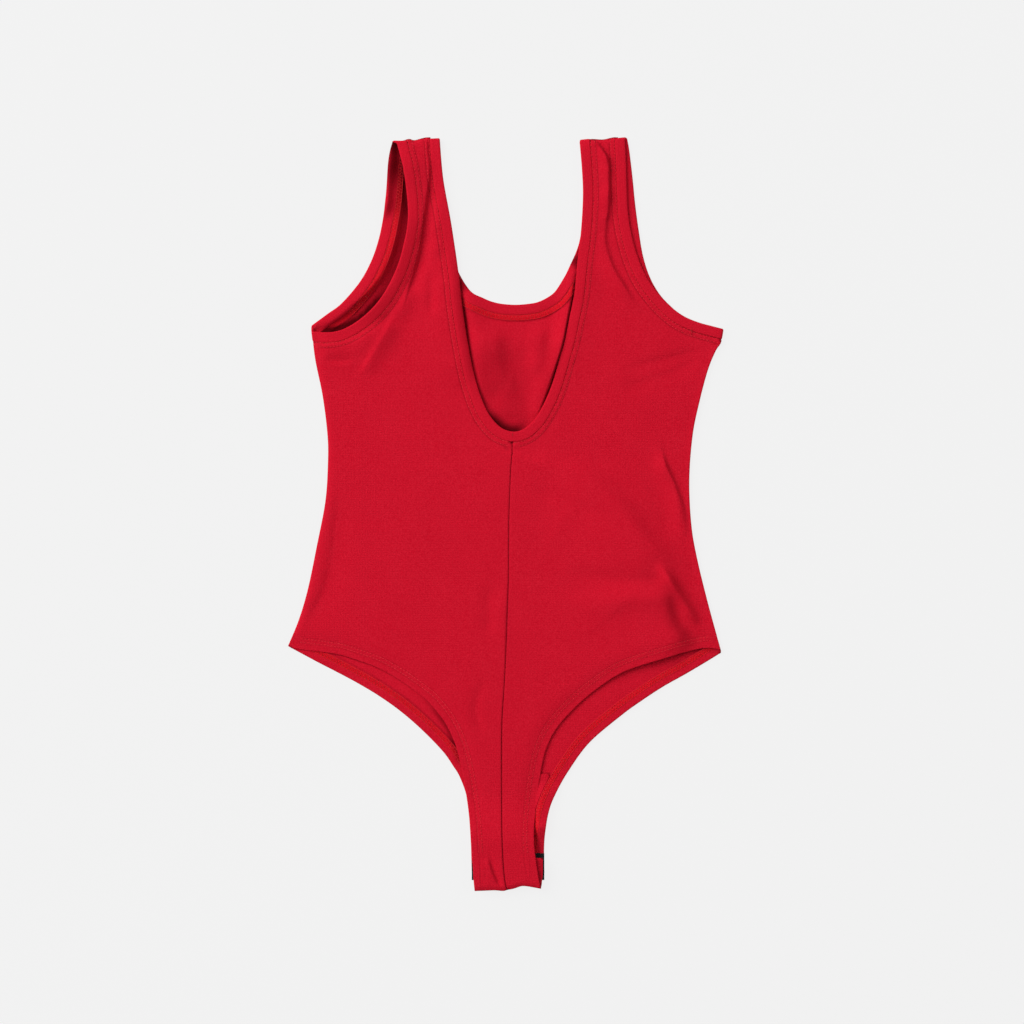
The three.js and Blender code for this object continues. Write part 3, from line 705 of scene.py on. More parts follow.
def net(outline: Array, edges: Sequence[Edge], pitch: float) -> tuple[Array, Array]:
    """Covers a flat outline with triangles, closely beside its seams and hems.

    Args:
        outline: the outline's points, in order.
        edges: runs of it that have closer rows.
        pitch: spacing of the points elsewhere.

    Returns:
        The points, one a row, and the triangles.
    """
    closed = ring(outline)
    rows: list[Array] = []
    for edge in edges:
        across = normals(edge.line)
        on_left, on_right = (inside(edge.line + side * across, outline).sum() for side in (1, -1))
        turned = 1.0 if on_left >= on_right else -1.0
        for depth in edge.rows:
            made = edge.line + across * depth * turned
            made = made[inside(made, outline)]
            rows.append(made[distance(made, closed) > max(depth * 0.92, edge.clear)])
    beside = np.vstack(rows)
    _, kept = np.unique(np.round(beside / 0.3), axis=0, return_index=True)
    beside = beside[np.sort(kept)]
    low, high = outline.min(0), outline.max(0)
    ys = np.arange(low[1], high[1], pitch * 0.866)
    across, up = np.meshgrid(np.arange(low[0], high[0], pitch), ys)
    across = across + (np.arange(len(ys)) % 2 * pitch / 2)[:, None]
    grid = np.column_stack([across.ravel(), up.ravel()])
    grid = grid[inside(grid, outline)]
    covered = np.zeros(len(grid), bool)
    for edge in edges:
        covered |= distance(grid, edge.line) < max(edge.rows) + 0.6 * pitch
    grid = grid[~covered & (distance(grid, closed) > 0.6 * pitch)]
    count = len(outline)
    sides = [(i, (i + 1) % count) for i in range(count)]
    made = delaunay_2d_cdt([Vector(p) for p in np.vstack([outline, beside, grid])], sides, [], 0, 1e-4, False)
    points, triangles = np.array([tuple(p) for p in made[0]]), np.array(made[2])
    return points, triangles[inside(points[triangles].mean(1), outline)]


def cloth(
    name: str, net_of: tuple[Array, Sequence[Edge], float], faces: tuple[Height, Height], finish: Finish,
    painted_shade: Height, threads: Height | None = None,
) -> Thing:
    """Makes a closed thin shell between two height functions, rounded at its outline.

    Args:
        name: the piece's name.
        net_of: its outline, the runs with closer rows, and the spacing of the other points.
        faces: the heights of its upper and lower faces.
        finish: its material.
        painted_shade: how much painted shade a place gets, in seams, at stitches, in folds and under edges.
        threads: how thickly sewing thread covers a place.

    Returns:
        The new object.
    """
    points, triangles = net(*net_of)
    high, low = (face(points) for face in faces)
    middle = (high + low) / 2
    share = rounded(distance(points, ring(net_of[0])) / 0.6)
    high, low = middle + (high - middle) * share, middle + (low - middle) * share
    sides = np.sort(np.vstack([triangles[:, [0, 1]], triangles[:, [1, 2]], triangles[:, [2, 0]]]), axis=1)
    pairs, seen = np.unique(sides, axis=0, return_counts=True)
    rim = np.zeros(len(points), bool)
    rim[pairs[seen == 1].ravel()] = True
    lower = np.where(rim, np.arange(len(points)), 0)
    lower[~rim] = len(points) + np.arange((~rim).sum())
    vertices = np.vstack([np.column_stack([points, high]), np.column_stack([points, low])[~rim]])
    piece = mesh_object(name, vertices, np.vstack([triangles, lower[triangles][:, ::-1]]), finish)
    # The painted shade, stored on the vertices for the finish to mix in.
    shade = painted_shade(points)
    give_shade(piece, "painted_shade", np.concatenate([shade, shade[~rim]]))
    if threads:
        give_shade(piece, "threads", np.concatenate([threads(points), np.zeros((~rim).sum())]))
    return piece


def swept(name: str, frames: Sequence[tuple[Array, ...]], sections: Sequence[Array], finish: Finish) -> Thing:
    """Sweeps a changing section round a loop.

    Args:
        name: the piece's name.
        frames: each station's place, direction of the section's u and direction of its v.
        sections: each station's section as (u, v) rows, all of one length.
        finish: the material.

    Returns:
        The new object, with a UV map of metres along and around it.
    """
    count, corners = len(frames), len(sections[0])
    vertices = np.vstack([
        place + section[:, :1] * across + section[:, 1:] * up
        for (place, across, up), section in zip(frames, sections)
    ])
    faces = []
    for i in range(count):
        here, ahead = i * corners, (i + 1) % count * corners
        for k in range(corners):
            following = (k + 1) % corners
            faces.append((here + k, here + following, ahead + following, ahead + k))
    piece = mesh_object(name, vertices, faces, finish)
    steps = np.hypot.reduce(np.diff(np.array([f[0] for f in frames]), axis=0), axis=1)
    along = np.concatenate(([0.0], np.cumsum(steps)))
    girth = length(sections[0])
    corner = np.empty(len(piece.data.loops), int)
    piece.data.loops.foreach_get("vertex_index", corner)
    uv = np.column_stack([along[corner // corners], girth[corner % corners]]) * MM
    piece.data.uv_layers.new(name="along").data.foreach_set("uv", uv.astype(np.float32).ravel())
    return piece


def strands(name: str, paths: Sequence[Array], radius: float, finish: Finish) -> Thing:
    """Makes many short lengths of thread as one piece.

    Args:
        name: the piece's name.
        paths: each thread's points (x, y, z), three or more.
        radius: the thread's.
        finish: the material.

    Returns:
        The new object.
    """
    sides = 5
    turn = np.linspace(0, 2 * np.pi, sides, endpoint=False)
    vertices: list[Array] = []
    faces: list[tuple[int, ...]] = []
    first = 0
    for path in paths:
        way = np.gradient(path, axis=0)
        way /= np.maximum(np.linalg.norm(way, axis=1), 1e-9)[:, None]
        across = np.cross(way, [0.0, 0.0, 1.0])
        across /= np.maximum(np.linalg.norm(across, axis=1), 1e-9)[:, None]
        up = np.cross(across, way)
        count = len(path)
        thick = radius * np.where((np.arange(count) == 0) | (np.arange(count) == count - 1), 0.35, 1.0)
        rim = across[:, None] * np.cos(turn)[None, :, None] + up[:, None] * np.sin(turn)[None, :, None]
        vertices.append((path[:, None] + rim * thick[:, None, None]).reshape(-1, 3))
        for i in range(count - 1):
            for k in range(sides):
                following = (k + 1) % sides
                low, high = first + i * sides, first + (i + 1) * sides
                faces.append((low + k, high + k, high + following, low + following))
        faces.append(tuple(first + k for k in range(sides)))
        faces.append(tuple(first + (count - 1) * sides + k for k in range(sides))[::-1])
        first += count * sides
    return stand_in(mesh_object(name, np.vstack(vertices), faces, finish))


# ---- Finishes
class Run(StrEnum):
    """Where a finish takes the direction of its knit or weave from."""

    PLAN = "Object"
    STRIP = "UV"


def linear(code: str) -> tuple[float, float, float, float]:
    """Turns an sRGB hex colour into the linear values that shaders work in.

    Args:
        code: the colour, as "#RRGGBB".

    Returns:
        Red, green, blue and an alpha of 1.
    """
    parts = [int(code[k : k + 2], 16) / 255 for k in (1, 3, 5)]
    red, green, blue = (p / 12.92 if p <= 0.04045 else ((p + 0.055) / 1.055) ** 2.4 for p in parts)
    return (red, green, blue, 1.0)


def add(
    tree: bpy.types.NodeTree, kind: str, inputs: dict[Any, Any] | None = None, **traits: Any
) -> bpy.types.Node:
    """Adds a node with its settings and links.

    Args:
        tree: the node tree.
        kind: the node's type.
        inputs: for each input, by name or number, its value, the socket that feeds it, or a node whose
            first socket feeds it.
        traits: the node's own settings.

    Returns:
        The new node.
    """
    made = tree.nodes.new(kind)
    for name, value in traits.items():
        setattr(made, name, value)
    for name, value in (inputs or {}).items():
        source = value.outputs[0] if isinstance(value, bpy.types.Node) else value
        if isinstance(source, bpy.types.NodeSocket):
            tree.links.new(source, made.inputs[name])
        else:
            made.inputs[name].default_value = source
    return made


def blank(name: str) -> tuple[Finish, bpy.types.NodeTree]:
    """Starts an empty node material.

    Args:
        name: the material's name.

    Returns:
        The material and its cleared node tree.
    """
    material = bpy.data.materials.new(name)
    material.use_nodes = True
    material.node_tree.nodes.clear()
    return material, material.node_tree


@dataclass(frozen=True)
class Jersey:
    """Single jersey, cotton with elastane, knitted in the round and dyed in the piece.

    The loops lie in upright ribs, the wales, and scatter light with almost no gloss. Dye sits a little
    unevenly. Shade is painted into the colour too: deeper in seams, folds and under the back's edges.
    """

    name: str
    run: Run = Run.PLAN
    face: str = "#C40B24"
    worn: str = "#D31A30"
    thread: str = "#D80A1A"
    # The colour that the painted shade mixes in: the cloth's red as it looks in deep shade.
    pit: str = "#4E0006"
    wale: float = 1.3
    course: float = 1.1
    bump: float = 0.22

    def make(self) -> Finish:
        """Builds the material.

        Returns:
            The material.
        """
        material, tree = blank(self.name)
        place = add(tree, "ShaderNodeTexCoord").outputs[self.run.value]
        # Wales 1.3 mm apart and courses 1.1 mm: about twice the real knit, which is too fine to show.
        split = add(tree, "ShaderNodeSeparateXYZ", {0: place}).outputs
        wale = add(tree, "ShaderNodeMath", {0: split[0], 1: 1 / (self.wale * MM)}, operation="MULTIPLY")
        loop = add(tree, "ShaderNodeMath", {0: wale, 1: 1.0}, operation="PINGPONG")
        slope = add(tree, "ShaderNodeMath", {0: loop, 1: 0.6 * self.course * MM}, operation="MULTIPLY")
        lifted = add(tree, "ShaderNodeMath", {0: split[1], 1: slope}, operation="ADD")
        course = add(tree, "ShaderNodeMath", {0: lifted, 1: 1 / (self.course * MM)}, operation="MULTIPLY")
        row = add(tree, "ShaderNodeMath", {0: course, 1: 1.0}, operation="PINGPONG")
        knit = add(tree, "ShaderNodeMath", {0: loop, 1: 0.6, 2: row}, operation="MULTIPLY_ADD")
        # Fibre ends 0.4 mm long, the dye's unevenness over 25 mm, slubs of 2.4 mm and specks of 1.25 mm.
        sizes = ((2400.0, 3.0, 0.6), (40.0, 2.0, 0.5), (420.0, 2.0, 0.6), (800.0, 1.0, 0.5))
        noises = []
        for scale, detail, rough in sizes:
            inputs = {"Vector": place, "Scale": scale, "Detail": detail, "Roughness": rough}
            noises.append(add(tree, "ShaderNodeTexNoise", inputs))
        fuzz, cloud, slub, speck = noises
        raised = add(tree, "ShaderNodeMath", {0: fuzz, 1: 0.8, 2: knit}, operation="MULTIPLY_ADD")
        bump = add(tree, "ShaderNodeBump", {"Height": raised, "Strength": self.bump, "Distance": 0.35 * MM})
        dyed = add(tree, "ShaderNodeMath", {0: cloud, 1: 0.15, 2: speck}, operation="MULTIPLY_ADD")
        ramp = add(tree, "ShaderNodeMapRange", {0: dyed, 1: 0.33, 2: 0.83})
        inputs = {0: ramp, 6: linear(self.face), 7: linear(self.worn)}
        colour = add(tree, "ShaderNodeMix", inputs, data_type="RGBA").outputs[2]
        # Mixes in the looper thread's colour, then the painted shade stored on the vertices.
        for name, shade in (("threads", self.thread), ("painted_shade", self.pit)):
            share = add(tree, "ShaderNodeAttribute", attribute_name=name, attribute_type="GEOMETRY")
            inputs = {0: share.outputs["Fac"], 6: colour, 7: linear(shade)}
            colour = add(tree, "ShaderNodeMix", inputs, data_type="RGBA").outputs[2]
        gloss = add(tree, "ShaderNodeMapRange", {0: slub, 1: 0.3, 2: 0.7, 3: 0.82, 4: 0.95})
        shader = add(tree, "ShaderNodeBsdfPrincipled", {
            "Base Color": colour,
            "Roughness": gloss,
            "Normal": bump,
            "IOR": 1.46,
            "Specular IOR Level": 0.05,
            "Sheen Weight": 0.05,
            "Sheen Roughness": 0.5,
            "Sheen Tint": linear("#E83848"),
        })
        add(tree, "ShaderNodeOutputMaterial", {0: shader})
        return material


@dataclass(frozen=True)
class Thread:
    """Textured polyester sewing thread of two twisted plies: brighter than the cloth, with a soft gloss."""

    name: str
    face: str
    worn: str = "#CC1424"
    ply: float = 0.5

    def make(self) -> Finish:
        """Builds the material.

        Returns:
            The material.
        """
        material, tree = blank(self.name)
        place = add(tree, "ShaderNodeTexCoord").outputs["Object"]
        # The plies show as slanted bands 0.5 mm apart, coarser than real so that they show.
        bands = {"Vector": place, "Scale": BAND_UNIT / (self.ply * MM), "Distortion": 1.5}
        twist = add(tree, "ShaderNodeTexWave", bands, bands_direction="DIAGONAL")
        dye = add(tree, "ShaderNodeTexNoise", {"Vector": place, "Scale": 300.0, "Detail": 2.0})
        inputs = {0: dye, 6: linear(self.face), 7: linear(self.worn)}
        tone = add(tree, "ShaderNodeMix", inputs, data_type="RGBA")
        bump = add(tree, "ShaderNodeBump", {"Height": twist, "Strength": 0.4, "Distance": 0.1 * MM})
        shader = add(tree, "ShaderNodeBsdfPrincipled", {
            "Base Color": tone.outputs[2],
            "Roughness": 0.6,
            "Normal": bump,
            "IOR": 1.5,
            "Specular IOR Level": 0.2,
            "Sheen Weight": 0.1,
        })
        add(tree, "ShaderNodeOutputMaterial", {0: shader})
        return material


@dataclass(frozen=True)
class TwillTape:
    """Cotton twill tape, woven and dyed black: slanted ribs 1 mm apart that catch a faint grey light."""

    name: str = "black twill tape"
    face: str = "#070708"
    worn: str = "#1B1A1C"
    rib: float = 1.0

    def make(self) -> Finish:
        """Builds the material.

        Returns:
            The material.
        """
        material, tree = blank(self.name)
        place = add(tree, "ShaderNodeTexCoord").outputs["Object"]
        bands = {"Vector": place, "Scale": BAND_UNIT / (self.rib * MM), "Distortion": 0.6}
        rib = add(tree, "ShaderNodeTexWave", bands, bands_direction="DIAGONAL")
        lint = add(tree, "ShaderNodeTexNoise", {"Vector": place, "Scale": 900.0, "Detail": 3.0})
        inputs = {0: lint, 6: linear(self.face), 7: linear(self.worn)}
        tone = add(tree, "ShaderNodeMix", inputs, data_type="RGBA")
        bump = add(tree, "ShaderNodeBump", {"Height": rib, "Strength": 0.5, "Distance": 0.3 * MM})
        shader = add(tree, "ShaderNodeBsdfPrincipled", {
            "Base Color": tone.outputs[2],
            "Roughness": 0.9,
            "Normal": bump,
            "IOR": 1.5,
            "Specular IOR Level": 0.25,
            "Sheen Weight": 0.1,
        })
        add(tree, "ShaderNodeOutputMaterial", {0: shader})
        return material


@dataclass(frozen=True)
class Enamel:
    """Brass press snap, stamped and enamelled black: a smooth skin with a soft gloss and rubbed rims."""

    name: str = "black enamelled snap"
    face: str = "#0B0B0D"
    worn: str = "#26241F"

    def make(self) -> Finish:
        """Builds the material.

        Returns:
            The material.
        """
        material, tree = blank(self.name)
        place = add(tree, "ShaderNodeTexCoord").outputs["Object"]
        rubbed = add(tree, "ShaderNodeTexNoise", {"Vector": place, "Scale": 700.0, "Detail": 3.0})
        inputs = {0: rubbed, 6: linear(self.face), 7: linear(self.worn)}
        tone = add(tree, "ShaderNodeMix", inputs, data_type="RGBA").outputs[2]
        gloss = add(tree, "ShaderNodeMapRange", {0: rubbed, 3: 0.25, 4: 0.5})
        inputs = {"Base Color": tone, "Roughness": gloss, "IOR": 1.5, "Metallic": 0.3}
        shader = add(tree, "ShaderNodeBsdfPrincipled", inputs)
        add(tree, "ShaderNodeOutputMaterial", {0: shader})
        return material


# ---- Pieces of the garment
@dataclass(frozen=True)
class Stitches:
    """Stretch stitches of a coverstitch machine."""

    pitch: float = 3.2
    length: float = 2.9
    proud: float = 0.12
    thick: float = 0.28

    def row(self, line: Array, height: Height) -> list[Array]:
        """Gives the needle threads of one row.

        Args:
            line: the row's run.
            height: the cloth's height under it.

        Returns:
            One short path a stitch.
        """
        fine = even(line, 0.4)
        step = np.hypot(*(fine[1] - fine[0]))
        every, span = int(round(self.pitch / step)), int(round(self.length / step))
        tall = height(fine) + self.proud
        paths = []
        for first in range(0, len(fine) - span, every):
            picked = np.array([first, first + span // 2, first + span])
            sunk = tall[picked] + np.array([-0.15, 0.05, -0.15])
            paths.append(np.column_stack([fine[picked], sunk]))
        return paths

    def ladder(self, inner: Array, outer: Array, height: Height) -> list[Array]:
        """Gives the looper threads that cross between two rows and run along them.

        Args:
            inner: one row.
            outer: the other row.
            height: the cloth's height under them.

        Returns:
            Their paths.
        """
        count = max(int(np.hypot(*np.diff(inner, axis=0).T).sum() / (self.pitch * 0.5)), 4)
        stops = np.linspace(0, 1, count)
        low, high = (
            np.column_stack([np.interp(stops, np.linspace(0, 1, len(line)), line[:, k]) for k in (0, 1)])
            for line in (inner, outer)
        )
        cross = np.where((np.arange(count) % 2 == 0)[:, None], low, high)
        ground = height(cross) + 0.05
        middle = (cross[:-1] + cross[1:]) / 2
        crown = height(middle) + 0.16
        paths = []
        for i in range(count - 1):
            rise = [ground[i], crown[i], ground[i + 1]]
            paths.append(np.column_stack([np.vstack([cross[i], middle[i], cross[i + 1]]), rise]))
        for share in (0.0, 1.0):
            chain = low + (high - low) * share
            paths.append(np.column_stack([chain, height(chain) + 0.1]))
        return paths


@dataclass
class FrontPanel:
    """The front, outer face down on the table, with its leg hems turned to the inside that shows."""

    lay: Lay
    finish: Finish
    thread: Finish
    looper: float = 0.24

    def __post_init__(self) -> None:
        """Draws the seams."""
        self.neck = self.lay.neck_seam("front")
        self.arms = {hand: self.lay.arm_seam("front", hand) for hand in Hand}
        self.legs = {hand: self.lay[f"leg front {hand}"] for hand in Hand}

    def outline(self) -> Array:
        """Gives the panel's outline.

        Returns:
            Its points, in order.
        """
        (left, right), (leg, other) = self.arms.values(), self.legs.values()
        half = int(np.argmin(self.neck[:, 1]))
        return tidy(np.vstack([
            left,
            self.lay.side_below(Hand.LEFT, left),
            leg,
            np.linspace(leg[-1], other[-1], 28)[1:-1],
            other[::-1],
            self.lay.side_below(Hand.RIGHT, right)[::-1],
            right[::-1],
            self.lay.shoulder(right[0, 0], self.neck[-1, 0], Hand.RIGHT),
            self.neck[half:][::-1],
            self.neck[:half][::-1],
            self.lay.shoulder(self.neck[0, 0], left[0, 0], Hand.LEFT),
        ]))

    def edges(self) -> list[Edge]:
        """Gives the runs that need closer points.

        Returns:
            One Edge a run.
        """
        seams = [Edge(even(line, RUN_STEP), SEAM_ROWS) for line in (self.neck, *self.arms.values())]
        hems = [Edge(line, HEM_ROWS) for line in self.legs.values()]
        sides = [Edge(self.lay[f"side {hand}"], SIDE_ROWS[:5]) for hand in Hand]
        return seams + hems + sides + creased(FRONT_CREASES)

    def away(self, points: Array) -> tuple[Array, Array]:
        """Gives the distances to the nearest band seam and to the nearest leg edge."""
        seam = distance(points, self.neck, *self.arms.values()) - self.lay.tuck
        return seam, distance(points, *self.legs.values())

    def bottom(self, points: Array) -> Array:
        """Gives the height of the outer face: flat on the table but for the grooves of its stitches.

        Args:
            points: places on the panel.

        Returns:
            The height at each place.
        """
        seam, leg = self.away(points)
        pressed = 0.3 * (dip(seam, ALLOWANCE, 0.6) + dip(leg, NEEDLES[0], 0.5) + dip(leg, NEEDLES[1], 0.5))
        return self.lay.under_front(points) + pressed + 0.7 * (1 - smooth((seam + self.lay.tuck) / 1.4))

    def top(self, points: Array) -> Array:
        """Gives the height of the inner face, raised over the seam allowance and the turned hem.

        Args:
            points: places on the panel.

        Returns:
            The height at each place.
        """
        seam, leg = self.away(points)
        side = self.lay.off(points, "side left", "side right")
        height = self.lay.under_front(points) + self.lay.cloth
        height += 0.1 * waver(points, 45, 8) * smooth(seam / 20)
        height += 0.42 + 0.38 * smooth((seam - 0.35) / 0.4) - 0.8 * smooth((seam - 5.4) / 1.0)
        height -= 0.12 * dip(seam, 7.0, 0.9)
        height += 0.8 * (1 - smooth((leg - HEM_DEEP) / 1.0)) - 0.1 * dip(leg, HEM_DEEP + 1, 0.9)
        return height - 0.2 * (1 - rounded(side / 6))

    def rest(self, points: Array) -> Array:
        """Gives the height that the back layer rests on: the inner face, or the lining that lies on it."""
        lined = smooth((-244 - points[:, 1]) / 2) * smooth((self.away(points)[1] - HEM_DEEP + 1) / 1.2)
        return np.maximum(self.top(points) + 0.05 + 1.05 * lined, 2.35 * lined)

    def painted_shade(self, points: Array) -> Array:
        """Tells how much shade is painted on a place, in seams and under the back layer's edges.

        Args:
            points: places on the panel.

        Returns:
            A shade from 0 to 1.
        """
        x, y = points.T
        seam, leg = self.away(points)
        gusset = dip(y, GUSSET, 0.6) * (leg > HEM_DEEP - 1)
        # Painted shadow below the back neck.
        base = self.lay.off(points, "neck back")
        low = 0.88 * (1 - smooth((base - 1) / 9.5)) * smooth((106 - y) / 20) * smooth((y - 70) / 6)
        low *= smooth((25 - x) / 17)
        low += 0.13 * smooth((170 - y) / 24) * smooth((y - 70) / 6) * (np.abs(x) < 60) * (1 - dip(x, 25, 8))
        low += 0.05 * dip(x, 38, 6) * smooth((170 - y) / 15) * smooth((y - 120) / 12)
        # Painted shadow beside the back's leg edges.
        under = self.lay.off(points, "leg back left", "leg back right")
        left = 0.62 * smooth((-168 - y) / 30) * smooth((y + 240) / 8) * (x < 0)
        low += (left + 0.35 * smooth((x - 150) / 30)) * (1 - smooth(under / 6.0))
        # Painted shadow beside the back's left armhole, most at its ends.
        arm = self.lay.off(points, "arm back left")
        ends = 0.55 + 0.4 * smooth((215 - y) / 20) + 0.3 * smooth((y - 275) / 15)
        low += ends * (1 - smooth((arm - 2) / 5.0)) * (x < -88)
        low += 0.32 * smooth((215 - y) / 20) * (1 - smooth((arm - 10) / 6.0)) * (x < -88)
        # Painted shade in the stitch lines by the band seams and the hem, and along the gusset seam.
        made = 0.12 * dip(seam, 6.6, 0.7) + 0.28 * dip(leg, HEM_DEEP + 0.9, 0.8) + 0.6 * gusset + low
        return np.minimum(np.maximum(made, self.lay.pocket(points)), DARKEST)

    def covered(self, points: Array) -> Array:
        """Tells how thickly looper thread covers a place.

        Args:
            points: places on the panel.

        Returns:
            A share from 0 to 1.
        """
        seam, leg = self.away(points)
        sewn = smooth((seam - 0.3) / 0.8) * (1 - smooth((seam - 4.7) / 0.9))
        hem = smooth((leg - 6.4) / 0.8) * (1 - smooth((leg - 11.4) / 0.8))
        gusset = dip(points[:, 1], GUSSET - 3.5, 1.6) * (leg > HEM_DEEP - 1)
        return 0.55 * np.maximum(np.maximum(sewn, hem), gusset)

    def build(self) -> Thing:
        """Makes the panel.

        Returns:
            The new object.
        """
        plan = (self.outline(), self.edges(), PITCH)
        piece = cloth("front_cloth", plan, (self.top, self.bottom), self.finish, self.painted_shade, self.covered)
        return stand_in(piece, "front_panel")

    def stitch(self) -> list[Thing]:
        """Lays the looper threads that show on the inside of the front.

        Returns:
            One object a seam or hem.
        """
        (left, right), (leg, other) = self.arms.values(), self.legs.values()
        made = []
        for name, line, inward, (low, high) in (
            ("neck", self.neck, -1, (1.2, 5.9)),
            ("armhole_left", left[left[:, 1] > 192], 1, (1.2, 5.9)),
            ("armhole_right", right, -1, (1.2, 5.9)),
            ("hem_left", leg[3:], 1, (7.0, 11.6)),
            ("hem_right", other[3:], -1, (7.0, 11.6)),
        ):
            paths = Stitches().ladder(moved(line, inward * low), moved(line, inward * high), self.top)
            made.append(strands(f"looper_{name}", paths, self.looper, self.thread))
        return made


@dataclass
class BackPanel:
    """One half of the back, outer face up, from the shoulder to the fold at the crotch."""

    lay: Lay
    hand: Hand
    finish: Finish
    thread: Finish
    rest: Height

    def __post_init__(self) -> None:
        """Draws the seams."""
        neck, middle = self.lay.neck_seam("back"), self.lay["centre"]
        lowest = neck[:, 1].min()
        centre = np.interp(lowest, middle[::-1, 1], middle[::-1, 0])
        self.neck = neck[self.hand.sign * (neck[:, 0] - centre) > 0.8]
        self.arm = self.lay.arm_seam("back", self.hand)
        self.leg = self.lay[f"leg back {self.hand}"]
        self.centre = middle[middle[:, 1] < lowest] + np.array([self.hand.sign * self.lay.room, 0.0])

    def outline(self) -> Array:
        """Gives the panel's outline.

        Returns:
            Its points, in order.
        """
        turned = 1 if self.hand is Hand.LEFT else -1
        neck, bottom = self.neck[::turned], self.lay["bottom"]
        end = bottom[self.hand.sign * (bottom[:, 0] - self.centre[-1, 0]) > 0.8]
        return tidy(np.vstack([
            neck,
            self.centre,
            end[::-turned],
            self.leg[::-1],
            self.lay.side_below(self.hand, self.arm)[::-1],
            self.arm[::-1],
            self.lay.shoulder(self.arm[0, 0], neck[0, 0], self.hand),
        ]))

    def edges(self) -> list[Edge]:
        """Gives the runs that need closer points.

        Returns:
            One Edge a run.
        """
        seams = [Edge(even(line, RUN_STEP), SEAM_ROWS) for line in (self.neck, self.arm)]
        folds = [Edge(self.lay["bottom"], FOLD_ROWS), Edge(self.lay[f"shoulder {self.hand}"], FOLD_ROWS[1:])]
        side = Edge(self.lay[f"side {self.hand}"], SIDE_ROWS)
        rest = [Edge(self.leg, HEM_ROWS), side, Edge(self.centre, CENTRE_ROWS)]
        return seams + folds + rest + creased(BACK_CREASES)

    def away(self, points: Array) -> tuple[Array, Array, Array]:
        """Gives the distances to the band seams (below 0 in a band), the leg edge and the centre seam."""
        seam = distance(points, self.neck, self.arm) - self.lay.tuck
        return seam, distance(points, self.leg), distance(points, self.centre)

    def top(self, points: Array) -> Array:
        """Gives the height of the outer face, with ridges over seam allowances and grooves at stitches.

        Args:
            points: places on the panel.

        Returns:
            The height at each place.
        """
        seam, leg, centre = self.away(points)
        ridge = 0.22 * (smooth(seam / 0.9) - smooth((seam - 4.0) / 0.9))
        pulled = 0.2 * dip(seam, 0, 0.7) + 0.3 * dip(seam, ALLOWANCE, 0.6) + 0.3 * dip(centre, 0, 0.8)
        hem = 0.16 * dip(leg, NEEDLES[0], 0.5) + 0.16 * dip(leg, NEEDLES[1], 0.5)
        relief = ridge - pulled - hem + 0.14 * waver(points, 16, 5) * dip(seam, 4, 9)
        return self.lay.back(points) + self.lay.cloth / 2 + relief

    def bottom(self, points: Array) -> Array:
        """Gives the height of the inner face, lower where the hem is turned under.

        Args:
            points: places on the panel.

        Returns:
            The height at each place.
        """
        seam, leg, _ = self.away(points)
        turned = 0.7 * (1 - smooth((leg - HEM_DEEP) / 0.8))
        tucked = 0.3 * (1 - smooth((seam + self.lay.tuck) / 1.4))
        free = self.lay.back(points) - self.lay.cloth / 2 + tucked - turned
        return np.minimum(np.maximum(free, self.rest(points)), self.top(points) - 0.4)

    def painted_shade(self, points: Array) -> Array:
        """Tells how much shade is painted on a place, in seams, stitch rows and the hip's hollow.

        Args:
            points: places on the panel.

        Returns:
            A shade from 0 to 1.
        """
        seam, leg, centre = self.away(points)
        # Painted shade along the hem's stitch rows and in the hollow beside the right hip's folds.
        rows = 0.15 * (dip(leg, NEEDLES[0] - 0.7, 0.5) + dip(leg, NEEDLES[1] + 0.7, 0.5))
        rows += 0.24 * dip(self.lay.off(points, "hip hollow"), 0, 6.5)
        # Painted shade in the centre seam, deeper towards the bottom, and in the band seams' stitch lines.
        low = 0.2 + 0.25 * smooth((-150 - points[:, 1]) / 60)
        sewn = 0.22 * dip(seam, 0, 0.7) + 0.32 * dip(seam, ALLOWANCE + 0.6, 0.6)
        return sewn + low * dip(centre, 0, 0.7) + rows

    def build(self) -> Thing:
        """Makes the panel.

        Returns:
            The new object.
        """
        plan = (self.outline(), self.edges(), PITCH)
        piece = cloth(f"back_cloth_{self.hand}", plan, (self.top, self.bottom), self.finish, self.painted_shade)
        return stand_in(piece, f"back_panel_{self.hand}")

    def stitch(self) -> list[Thing]:
        """Lays the twin rows of coverstitch beside the bands and along the hem.

        Returns:
            One object a seam or hem.
        """
        made = []
        inward = -self.hand.sign
        for name, line, side, rows in (
            ("neck", self.neck, -1, (1.4, 5.2)),
            ("armhole", self.arm, inward, (1.4, 5.2)),
            ("hem", self.leg[3:-14], inward, NEEDLES),
        ):
            paths = [path for row in rows for path in Stitches().row(moved(line, side * row), self.top)]
            made.append(strands(f"coverstitch_{name}_{self.hand}", paths, Stitches().thick, self.thread))
        return made


@dataclass
class Station:
    """One place along a binding: its middle, the way across it, half its width and how far it bows up."""

    place: Array
    across: Array
    half: float
    bow: Array


@dataclass(frozen=True)
class Fold:
    """Where a binding turns from the front layer to the back one: at a value of x or y."""

    axis: int
    line: float
    at_end: bool
    outward: tuple[float, float, float]


